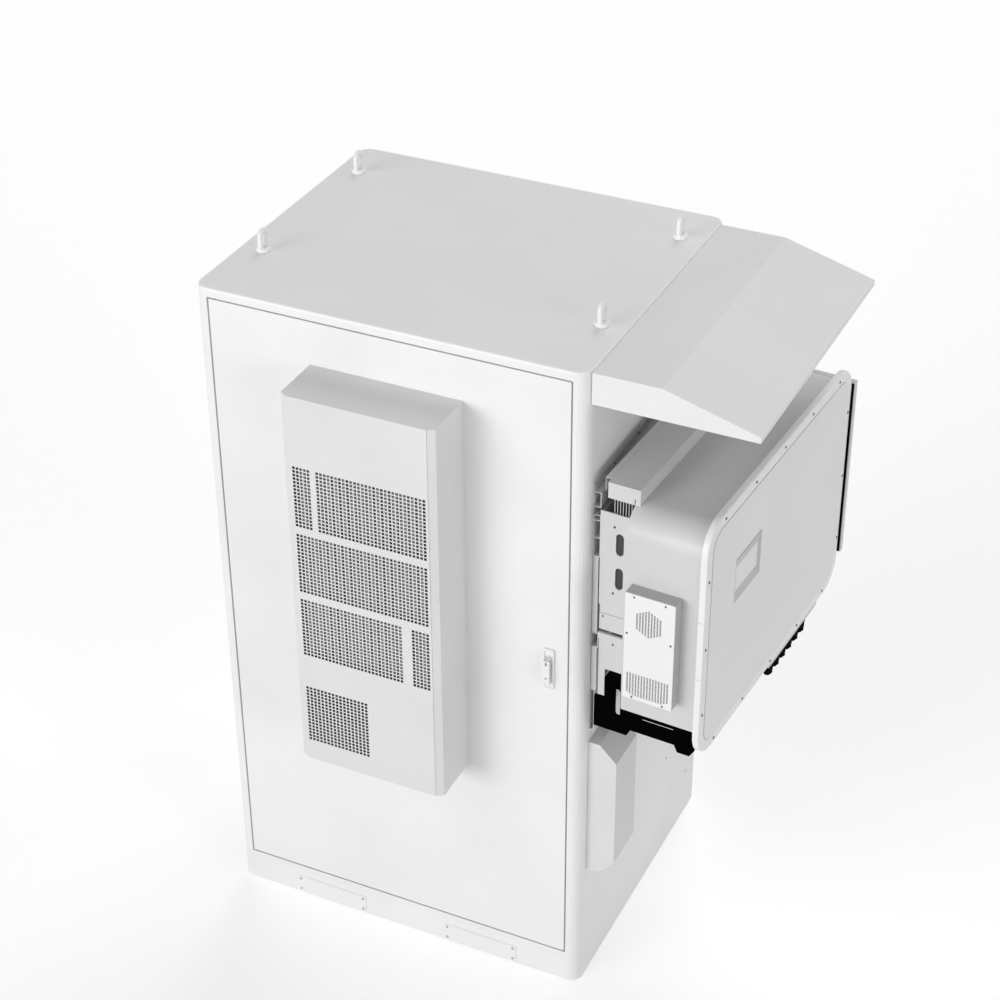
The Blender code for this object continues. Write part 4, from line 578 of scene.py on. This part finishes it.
def spread_places(low, size, column, row):
    """Places spread evenly over a field, about a column and a row apart."""
    columns, rows = max(1, round(size[0] / column)), max(1, round(size[1] / row))
    return [
        (low[0] + (across + 0.5) * size[0] / columns, low[1] + (up + 0.5) * size[1] / rows)
        for across in range(columns) for up in range(rows)
    ]


def perforated(name, places, low, high, hole, finish):
    """A sheet between two corners with a hole at each (x, z) place."""
    centre = (low + high) / 2
    points = [(x - centre.x, z - centre.z, 0.0) for x, z in places]
    mesh = grown(name, perforated_sheet_tree(), points, {
        "Width": high.x - low.x, "Height": high.z - low.z, "Hole width": hole[0], "Hole height": hole[1],
        "Thickness": high.y - low.y, "Material": finishes[finish],
    })
    mesh.transform(Matrix.Translation((centre.x, high.y, centre.z)))
    return mesh


class CABINET_OT_grille(bpy.types.Operator):
    """Make the air conditioner's perforated front sheet"""

    bl_idname = "cabinet.grille"
    bl_label = "Front sheet"

    def execute(self, context):
        sizes = context.scene.cabinet_grille
        edge = 0.0062
        reach = (grille_high.x - grille_low.x) / 2 - edge
        row, narrow, gap = 0.202, 0.057, 0.016
        top, upper, lower, bottom = 1.592, 1.368, 1.1435, 0.8285
        places = []
        for x, z, width in (
            (-reach, top, narrow), (-reach + narrow + gap, top, 2 * reach - narrow - gap), (-reach, upper, 2 * reach),
            (-reach, lower, 0.3275), (reach - narrow, lower, narrow), (-reach, bottom, 0.206),
        ):
            places += spread_places((x, z), (width, row), sizes.pitch, sizes.pitch)
        mesh = perforated("ac_front_sheet", places, grille_low, grille_high, (sizes.hole, sizes.hole), "hood")
        piece("ac_front_sheet", mesh, None, "white_paint", replaced=("ac_grille_panel",), body="door")
        return {"FINISHED"}


class CABINET_OT_fan_plate(bpy.types.Operator):
    """Make the perforated plate over the inverter's side fan and the dust screen behind it"""

    bl_idname = "cabinet.fan_plate"
    bl_label = "Side fan plate"

    def execute(self, context):
        sizes = context.scene.cabinet_grille
        left, bottom = guard_low.x, guard_low.z
        # A hexagon of slots over the fan, with its corners up and down.
        fan = Vector((left + 0.072, bottom + 0.2675))
        half, tip = 0.039, 0.045
        places = []
        slots = sizes.fan_column, sizes.fan_row
        for x, z in spread_places(fan - Vector((half, tip)), (2 * half, 2 * tip), *slots):
            if abs(z - fan.y) + abs(x - fan.x) * math.tan(math.radians(30)) < tip:
                places.append((x, z))
        # A wide field at the bottom with its lower corners cut off.
        low, size = Vector((left + 0.009, bottom + 0.013)), (0.13, 0.076)
        for x, z in spread_places(low, size, *slots):
            if min(x - low.x, low.x + size[0] - x) * 0.68 + (z - low.y) > 0.0125:
                places.append((x, z))
        slot = sizes.fan_slot_width, sizes.fan_slot_height
        mesh = perforated("side_fan_plate", places, guard_low, guard_high, slot, "cabinet")
        piece("side_fan_plate", mesh, None, "white_paint", askew, replaced=("side_fan_guard",))

        # Black sheets behind the slots stand in for the dark fan and paint the shade inside the box.
        front, back = guard_high.y + 0.0004, guard_high.y + 0.0012
        box_piece("dust_screens", (
            ((fan.x - 0.043, front, fan.y - 0.049), (fan.x + 0.043, back, fan.y + 0.049)),
            ((low.x - 0.004, front, low.y - 0.006), (low.x + size[0] + 0.004, back, low.y + size[1] + 0.004)),
        ), "plastic", "black_plastic", askew)
        return {"FINISHED"}


class CABINET_OT_inverter_cover(bpy.types.Operator):
    """Make the inverter's cast cover with its flange, seam, raised panel and window"""

    bl_idname = "cabinet.inverter_cover"
    bl_label = "Inverter cover"

    def execute(self, context):
        sizes = context.scene.cabinet_inverter
        rise = cover_high.x - cover_low.x
        flange = rise - 0.002

        def edge(inset, x):
            loop = rounded_loop(cover_low.yz, cover_high.yz, inset, max(sizes.corner - inset, 0.004), 10)
            return [(cover_low.x + x, y, z) for y, z in loop]

        def opening(field, inset, radius, x):
            low = cover_low.y + field[0], field[1]
            loop = rounded_loop(low, (low[0] + field[2], low[1] + field[3]), inset, radius, 10)
            return [(cover_low.x + x, y, z) for y, z in loop]

        seam = sizes.border - 0.002
        window = (0.194, cover_high.z - 0.348, 0.177, 0.144)
        pane = (0.213, window[1] + 0.0275, 0.149, 0.08)
        loops = [edge(inset, x) for inset, x in (
            # Back rim, side and the rounded outer edge of the flange
            (0.006, 0.0), (0.0006, 0.0), (0.0, 0.0006), (0.0, flange - 0.005), (0.0005, flange - 0.0029),
            (0.0017, flange - 0.0012), (0.0033, flange - 0.0003), (0.0052, flange),
            # Seam between the flange and the raised panel
            (seam - 0.0006, flange), (seam, flange - 0.0006), (seam + 0.0002, flange - 0.0036),
            (seam + 0.0016, flange - 0.0036), (seam + 0.0018, rise - 0.0008), (seam + 0.0028, rise),
            (seam + 0.0042, rise),
        )]
        # Window: mouth, slanted sides and the pane's rim
        loops += [opening(*loop) for loop in (
            (window, -0.003, 0.006, rise), (window, -0.001, 0.004, rise), (window, 0.0, 0.003, rise - 0.0004),
            (pane, 0.0, 0.002, rise - 0.006), (pane, 0.0008, 0.0015, rise - 0.0067),
            (pane, 0.0016, 0.0012, rise - 0.0067),
        )]
        bm = bmesh.new()
        bands = loft_into(bm, loops)
        # Bezel, pane and flange, after the panel's own coat
        for index, parts in enumerate((bands[16:18], bands[19:21], bands[:8]), 1):
            for face in (face for band in parts for face in band):
                face.material_index = index
        # The bezel's grey is partly painted shade of the window's recessed walls.
        coats = ("inverter", "bezel", "pane", "cabinet")
        piece("inverter_front_cover", bm, coats, "white_paint", askew, 28, ("inverter_cover",))

        # Dark strip along the top of the window, seen as a thin dark line: painted shadow under the recess's top
        # wall.
        top = window[1] + window[3]
        low, high = on_inverter(rise - 0.0012, 0.198, top - 0.0022), on_inverter(rise - 0.0001, 0.366, top - 0.0006)
        box_piece("window_lip", [(low, high)], "rubber", "black_rubber", askew, 0.0003)

        # Two joints of the flange's gasket strip show on its near side.
        box_piece("flange_joints", [
            (on_inverter(0.0015, -0.0001, level - 0.0007), on_inverter(0.0125, 0.001, level + 0.0007))
            for level in (1.531, 1.341)
        ], "fan_box", "grey_paint", askew)

        # Screws in the flange: along its top and foot, and up both ends.
        inset = 0.017
        levels = cover_low.z + inset, cover_high.z - inset
        places = [(0.109 + 0.202 * step, level) for step in range(5) for level in levels]
        for y in (inset, cover_high.y - cover_low.y - inset):
            places += [(y, cover_high.z - 0.167 - 0.2235 * step) for step in range(3)]
        points = [on_inverter(flange, y, z) for y, z in places]
        heads = context.scene.cabinet_fasteners
        screws("cover_screws", points, heads.head_radius, heads.head_height, outward, turn=askew)
        return {"FINISHED"}


class CABINET_OT_case(bpy.types.Operator):
    """Make the inverter's cast case with its round shoulders, and the outlet at its far end"""

    bl_idname = "cabinet.case"
    bl_label = "Inverter case"

    def execute(self, context):
        sizes = context.scene.cabinet_inverter
        foot, top = cover_low.z + 0.101, case_high.z - sizes.case_drop
        steps = 14

        def profile(inset, x):
            points = [(x, case_low.y + inset, foot + inset), (x, case_high.y - inset, foot + inset)]
            far, near = case_high.y - sizes.far_shoulder, case_low.y + sizes.shoulder
            for turn, radius, y in ((0, sizes.far_shoulder, far), (1, sizes.shoulder, near)):
                for step in range(steps + 1):
                    angle = math.radians(90 * (turn + step / steps))
                    reach = radius - inset
                    points.append((x, y + reach * math.cos(angle), top - radius + reach * math.sin(angle)))
            return points

        bm = bmesh.new()
        loft_into(bm, [
            profile(0.005, case_low.x), profile(0.0015, case_low.x + 0.0012), profile(0.0, case_low.x + 0.005),
            profile(0.0, case_high.x),
        ])
        # Wiring box below the far half, and the ledge that the shroud's lip stands on
        rim = 0.01
        low = (gland_low.x - rim, gland_low.y - rim, case_low.z)
        rounded_box(bm, low, (case_high.x, gland_high.y + rim, foot + 0.02), 0.003, 3)
        shroud_low, shroud_high = turned_box("heat_sink_shroud")
        low = (case_low.x + 0.002, shroud_low.y + 0.001, top - 0.01)
        rounded_box(bm, low, (shroud_high.x - 0.0004, shroud_high.y - 0.001, case_high.z - 0.0003), 0.0015)
        piece("inverter_case", bm, "housing", "white_paint", askew, 35, ("inverter_housing",))

        # Folded sheet that closes the gap between the upper rail and the shroud's back.
        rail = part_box("upper_wall_rail")[1]
        back, top, margin, sheet = shroud_low.x - 0.018, shroud_high.z, 0.02, 0.0016
        near, far = shroud_low.y + margin, shroud_high.y - margin
        box_piece("gap_sheet", (
            ((back, near, top - 0.002), (shroud_low.x - 0.0003, far, top)),
            ((back, near, rail.z - 0.012), (back + sheet, far, top - 0.0005)),
        ), "housing", "white_paint", askew, 0.0005, 1)

        # Outlet: a frame with slats, wider than the case, on black boxes that paint the shade of the gap behind it.
        low = Vector((outlet_low.x, outlet_high.y - 0.0205, outlet_low.z - 0.015))
        high = Vector((cover_high.x + 0.005, outlet_high.y, outlet_high.z - 0.052))
        rim, count, slat = 0.012, 14, (0.014, 0.0016)
        bm = bmesh.new()
        for x0, x1, z0, z1 in (
            (low.x, low.x + rim, low.z, high.z), (high.x - rim, high.x, low.z, high.z),
            (low.x + rim, high.x - rim, low.z, low.z + rim), (low.x + rim, high.x - rim, high.z - rim, high.z),
        ):
            rounded_box(bm, (x0, low.y, z0), (x1, high.y, z1), 0.001)
        tilt = Matrix.Rotation(math.radians(-35), 4, "X")
        size = Matrix.Diagonal((high.x - low.x - 2 * rim + 0.002, *slat, 1.0))
        for step in range(count):
            level = low.z + rim + (step + 0.5) * (high.z - low.z - 2 * rim) / count
            place = Matrix.Translation(((low.x + high.x) / 2, high.y - 0.0075, level))
            bmesh.ops.create_cube(bm, size=1.0, matrix=place @ tilt @ size)
        piece("outlet_louvre", bm, "housing", "grey_paint", askew, None, ("air_outlet_hood",))
        # The black boxes behind the frame paint the shade in the gap between the cover and the outlet.
        step, back = cover_high.y + 0.0006, low.y + 0.0004
        box_piece("outlet_seal", (
            ((low.x + 0.004, step, low.z + 0.004), (high.x - 0.003, back, high.z - 0.004)),
            ((low.x + 0.006, case_high.y - 0.001, low.z + 0.01), (case_high.x - 0.01, step + 0.0006, high.z - rim)),
        ), "bracket", "black_rubber", askew, 0.0008, 1)
        return {"FINISHED"}


class CABINET_OT_end_plates(bpy.types.Operator):
    """Make the cheeks that close the heat sink's ends and the uprights between the wall rails"""

    bl_idname = "cabinet.end_plates"
    bl_label = "End plates"

    def execute(self, context):
        skin = 0.0024
        small = context.scene.cabinet_fasteners.small_radius
        ladder_low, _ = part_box("ladder_wall_rail")
        middle_low, middle_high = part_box("middle_wall_rail")
        _, lower_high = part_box("lower_wall_rail")
        for word, side, face, way in (("near", "front", sink_low.y, -1), ("far", "rear", sink_high.y, 1)):
            hanger_low, hanger_high = turned_box(f"hanger_plate_{side}")
            _, arm_high = turned_box(f"bracket_arm_{side}")
            edge, back = hanger_low.x + 0.002, sink_high.x - 0.0005
            inner, outer = face + way * 0.0003, face + way * (0.0003 + skin)
            top, horn_top, horn = hanger_low.z, arm_high.z + 0.0008, hanger_high.x - 0.086
            cheeks = []
            for end, z0, z1, reach in (
                (back, top - 0.029, top - 0.0006, 0.0), (back, top - 0.086, top - 0.03, 0.0006),
                (back, horn_top, top - 0.094, 0.0), (horn, horn_top - 0.096, horn_top + 0.001, 0.0),
                (back, top - 0.115, top - 0.094, 0.009),
            ):
                y0, y1 = sorted((inner, outer + way * reach))
                cheeks.append(((edge, y0, z0), (end, y1, z1)))
            box_piece(f"heat_sink_cheeks_{word}", cheeks, "rail", "white_paint", askew, 0.0005, 1)

            # Dark sheet between the hanger plate and the fins: painted shade that shows through the slots.
            y0, y1 = sorted((face + way * 0.00005, face + way * 0.00035))
            backing = (sink_low.x + 0.003, y0, top + 0.004), (sink_high.x - 0.001, y1, hanger_high.z - 0.004)
            box_piece(f"slot_backing_{word}", [backing], "skin", "grey_paint", askew)

            points = [(edge + 0.011, outer, top - 0.04), (edge + 0.044, outer, top - 0.129)]
            screws(f"cheek_screws_{word}", points, small, 0.0014, (0.0, float(way), 0.0), turn=askew)

            # Folded uprights that stand between the rails behind the hanger plate's wall side
            corner = askew @ Vector((edge, face, 0.0))
            y0, y1 = sorted((corner.y + way * 0.001, corner.y - way * 0.03))
            box_piece(f"rail_uprights_{word}", [
                ((middle_low.x + 0.0005, y0, below.z + 0.0005), (middle_high.x - 0.0045, y1, above.z - 0.0005))
                for below, above in ((middle_high, ladder_low), (lower_high, middle_low))
            ], "rail", "white_paint", None, 0.0012)
        return {"FINISHED"}


class CABINET_OT_glands(bpy.types.Operator):
    """Make the gland plate and its cable glands"""

    bl_idname = "cabinet.glands"
    bl_label = "Cable glands"

    def execute(self, context):
        plate_low = gland_high.z - 0.003
        plate = (*gland_low.xy, plate_low), gland_high
        look = {"smooth": 30, "replaced": ("gland_plate",)}
        box_piece("gland_base", [plate], "plastic", "black_plastic", askew, 0.0008, **look)
        points = [on_inverter(-0.026, 0.616 + 0.049 * step, plate_low + 0.0005) for step in range(6)]
        radius = context.scene.cabinet_inverter.gland_radius
        values = {"Radius": radius, "Length": 0.061, "Material": finishes["plastic"]}
        mesh = grown("cable_glands", glands_tree(), points, values)
        piece("cable_glands", mesh, None, "black_plastic", askew, 30)
        return {"FINISHED"}


class CABINET_OT_eye_bolts(bpy.types.Operator):
    """Make the four lifting eyes and the sealant in the seam under the lid"""

    bl_idname = "cabinet.eye_bolts"
    bl_label = "Lifting eyes"

    def execute(self, context):
        nodes = sorted(name for name in frame["nodes"] if name.startswith("lifting_eye"))
        eye_height, lid_corner = 0.076, 0.04
        bm = bmesh.new()
        for node in nodes:
            low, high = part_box(node)
            place = Matrix.Translation(((low.x + high.x) / 2, (low.y + high.y) / 2, high.z - eye_height))
            # The foot sits on the lid, and the loop's two legs rise from it.
            turn_into(bm, (
                (0.0, 0.0), (0.0202, 0.0), (0.021, 0.0008), (0.021, 0.011), (0.0206, 0.0121), (0.0196, 0.0126),
                (0.0, 0.013),
            ), 48, place)
            loop_into(bm, 0.014, 0.008, 0.01, 0.049, place)
        piece("eye_bolts", bm, "cabinet", "white_paint", None, 40, tuple(nodes))

        # Painted sealant fills the groove between the lid's rim and the shell, so no seam shows.
        lid_low, lid_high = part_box("roof_lid")
        bm = bmesh.new()
        loops = []
        for inset, level in ((0.0008, 0.0066), (0.0002, 0.0074), (0.0002, 0.014), (0.0008, 0.0146)):
            loop = rounded_loop(lid_low.xy, lid_high.xy, inset, lid_corner - inset, 12)
            loops.append([(x, y, lid_low.z + level) for x, y in loop])
        loft_into(bm, loops)
        piece("lid_sealant", bm, "cabinet", "white_paint", None, 30)
        return {"FINISHED"}


class CABINET_OT_handle(bpy.types.Operator):
    """Make the handle's dish, lever and key plug"""

    bl_idname = "cabinet.handle"
    bl_label = "Swing handle"

    def execute(self, context):
        face, back = dish_low.y, dish_high.y
        plug_share = 0.3

        def edge(inset, y, radius):
            return [(x, y, z) for x, z in rounded_loop(dish_low.xz, dish_high.xz, inset, radius, 6)]

        bm = bmesh.new()
        loft_into(bm, [
            edge(0.0, back, 0.0055), edge(0.0, face + 0.0022, 0.0055), edge(0.0005, face + 0.001, 0.005),
            edge(0.002, face, 0.004), edge(0.004, face, 0.0035), edge(0.0046, face + 0.0004, 0.003),
            edge(0.0052, face + 0.0045, 0.0028),
        ])
        # Boss under the hub
        pivot = Vector(next(joint["pos_m"] for joint in frame["joints"] if joint["name"] == "handle_turn"))
        lie = Matrix.Rotation(math.pi / 2, 4, "X")
        place = Matrix.Translation((pivot.x, face + 0.005, pivot.z)) @ lie
        turn_into(bm, ((0.0, 0.0), (0.0125, 0.0), (0.0125, 0.0045), (0.012, 0.005), (0.0, 0.005)), 36, place)
        piece("handle_tray", bm, "cabinet", "white_paint", None, 30, ("handle_dish",), "door")

        # Key plug in the lower third of the lever
        level = lever_low.z + (lever_high.z - lever_low.z) * plug_share
        middle = (lever_low.x + lever_high.x) / 2
        place = Matrix.Translation((middle, lever_low.y + 0.0004, level)) @ lie
        bm = bmesh.new()
        turn_into(bm, ((0.0, 0.0), (0.0048, 0.0), (0.0048, 0.0008), (0.0043, 0.0011), (0.0, 0.0011)), 28, place)
        piece("key_plug", bm, "chrome", "bare_steel", None, 30, body="lever")
        low = (middle - 0.0006, lever_low.y - 0.001, level - 0.0031)
        high = (middle + 0.0006, lever_low.y - 0.0002, level + 0.0031)
        box_piece("key_slot", [(low, high)], "plastic", "black_plastic", None, 0.0002, 1, body="lever")
        return {"FINISHED"}


class CABINET_OT_screws(bpy.types.Operator):
    """Make the screws of the pocket covers, the fan plate and the wall rails"""

    bl_idname = "cabinet.screws"
    bl_label = "Screws"

    def execute(self, context):
        heads = context.scene.cabinet_fasteners
        large = heads.head_radius, heads.head_height
        small, inset = heads.small_radius, 0.01
        points = []
        for side in ("left", "right"):
            low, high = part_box(f"fork_pocket_cover_{side}")
            levels = low.z + inset, high.z - inset
            points += [(x, low.y, z) for x in (low.x + inset, high.x - inset) for z in levels]
        screws("pocket_cover_screws", points, *large, forward, "zinc")

        left, bottom = guard_low.x, guard_low.z
        points = [(left + x, guard_low.y, bottom + z) for x, z in (
            (0.027, 0.3435), (0.12, 0.3435), (0.008, 0.2195), (0.139, 0.2195), (0.028, 0.0065), (0.121, 0.0065),
        )]
        screws("fan_plate_screws", points, small, 0.0013, forward, turn=askew)

        # Two small plugs in the side wall below the inverter
        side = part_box("enclosure_shell")[1].x
        screws("wall_plugs", [(side, 0.203, 0.373), (side, 0.394, 0.175)], small, 0.001, outward)

        # Rail screws: through the upper rail's flange, and into the webs of the middle and lower rails
        low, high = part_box("upper_wall_rail")
        points = [(low.x + 0.0026, low.y + 0.135 + step * 0.175, high.z - 0.012) for step in range(5)]
        for node in ("middle_wall_rail", "lower_wall_rail"):
            low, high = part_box(node)
            points += [(high.x, low.y + 0.18 + step * 0.245, (low.z + high.z) / 2) for step in range(3)]
        screws("rail_screws", points, *large, outward)
        return {"FINISHED"}


class CABINET_OT_studio(bpy.types.Operator):
    """Make the floor, the light and the camera"""

    bl_idname = "cabinet.studio"
    bl_label = "Studio"

    def execute(self, context):
        scene = context.scene
        studio = scene.cabinet_studio
        bm = bmesh.new()
        bmesh.ops.create_grid(bm, x_segments=1, y_segments=1, size=40.0)
        floor = bpy.data.objects.new("floor", mesh_of(bm, "floor"))
        floor.data.materials.append(floor_paper())
        scene.collection.objects.link(floor)

        world = bpy.data.worlds.new("Studio")
        tree = empty_tree(world)
        rays, seen = seen_rays(tree)
        clear = add(tree, "ShaderNodeMath", {0: seen, 1: rays["Is Transmission Ray"]}, operation="MAXIMUM")
        lit = add(tree, "ShaderNodeBackground", {"Color": (1, 1, 1, 1), "Strength": studio.sky})
        white = add(tree, "ShaderNodeBackground", {"Color": (1, 1, 1, 1), "Strength": 1.0})
        mix = add(tree, "ShaderNodeMixShader", {0: clear, 1: lit, 2: white})
        add(tree, "ShaderNodeOutputWorld", {"Surface": mix})
        scene.world = world

        for name, side, height, across, strength in lamps:
            side, height = math.radians(side), math.radians(height)
            source = Vector((math.sin(side) * math.cos(height), -math.cos(side) * math.cos(height), math.sin(height)))
            light = bpy.data.lights.new(name, "SUN")
            light.energy, light.angle = math.pi * strength * studio.lamps, math.radians(across)
            lamp = bpy.data.objects.new(name, light)
            lamp.rotation_euler = (-source).to_track_quat("-Z", "Y").to_euler()
            scene.collection.objects.link(lamp)

        camera = bpy.data.cameras.new("camera")
        camera.lens, camera.sensor_width, camera.clip_end = studio.lens, 36.0, 200.0
        eye = bpy.data.objects.new("camera", camera)
        eye.location, eye.rotation_euler = camera_place, [math.radians(angle) for angle in camera_angles]
        scene.collection.objects.link(eye)
        scene.camera = eye
        scene.view_settings.view_transform = "Standard"
        return {"FINISHED"}


def seen_rays(tree):
    """The light path's outputs, and a node that is one for camera and glossy rays."""
    rays = add(tree, "ShaderNodeLightPath").outputs
    seen = add(tree, "ShaderNodeMath", {0: rays["Is Camera Ray"], 1: rays["Is Glossy Ray"]}, operation="MAXIMUM")
    return rays, seen


def floor_paper():
    """Seamless white paper: white to the camera, and it keeps the object's shadow."""
    material = bpy.data.materials.new("Seamless paper")
    tree = empty_tree(material)
    _, seen = seen_rays(tree)
    plain = add(tree, "ShaderNodeBsdfDiffuse", {"Color": linear("#E4E4E4")})
    paper = add(tree, "ShaderNodeBsdfDiffuse", {"Color": linear("#FAFAFA")})
    glow = add(tree, "ShaderNodeEmission", {"Color": (1, 1, 1, 1), "Strength": 0.31})
    white = add(tree, "ShaderNodeAddShader", {0: paper, 1: glow})
    mix = add(tree, "ShaderNodeMixShader", {0: seen, 1: plain, 2: white})
    add(tree, "ShaderNodeOutputMaterial", {"Surface": mix})
    return material


operators = (
    CABINET_OT_finish, CABINET_OT_grille, CABINET_OT_fan_plate, CABINET_OT_inverter_cover, CABINET_OT_case,
    CABINET_OT_end_plates, CABINET_OT_glands, CABINET_OT_eye_bolts, CABINET_OT_handle, CABINET_OT_screws,
    CABINET_OT_studio,
)


class CABINET_PT_panel(bpy.types.Panel):
    """Settings and steps of the battery cabinet"""

    bl_idname = "CABINET_PT_panel"
    bl_label = "Battery cabinet"
    bl_space_type = "VIEW_3D"
    bl_region_type = "UI"
    bl_category = "Cabinet"

    def draw(self, context):
        for name, group in settings_groups.items():
            column = self.layout.column(heading=group.__doc__)
            for prop in group.__annotations__:
                column.prop(getattr(context.scene, name), prop)
        for operator in operators:
            self.layout.operator(operator.bl_idname)


def register():
    """Register the settings, the operators and the panel."""
    for name, group in settings_groups.items():
        bpy.utils.register_class(group)
        setattr(bpy.types.Scene, name, bpy.props.PointerProperty(type=group))
    for cls in (*operators, CABINET_PT_panel):
        bpy.utils.register_class(cls)


def unregister():
    """Remove what register adds."""
    for cls in reversed((*operators, CABINET_PT_panel)):
        bpy.utils.unregister_class(cls)
    for name, group in settings_groups.items():
        delattr(bpy.types.Scene, name)
        bpy.utils.unregister_class(group)


def main():
    """Run every step in order and write the sizes."""
    register()
    for operator in operators:
        getattr(bpy.ops.cabinet, operator.bl_idname.split(".")[1])()


if __name__ == "__main__":
    main()
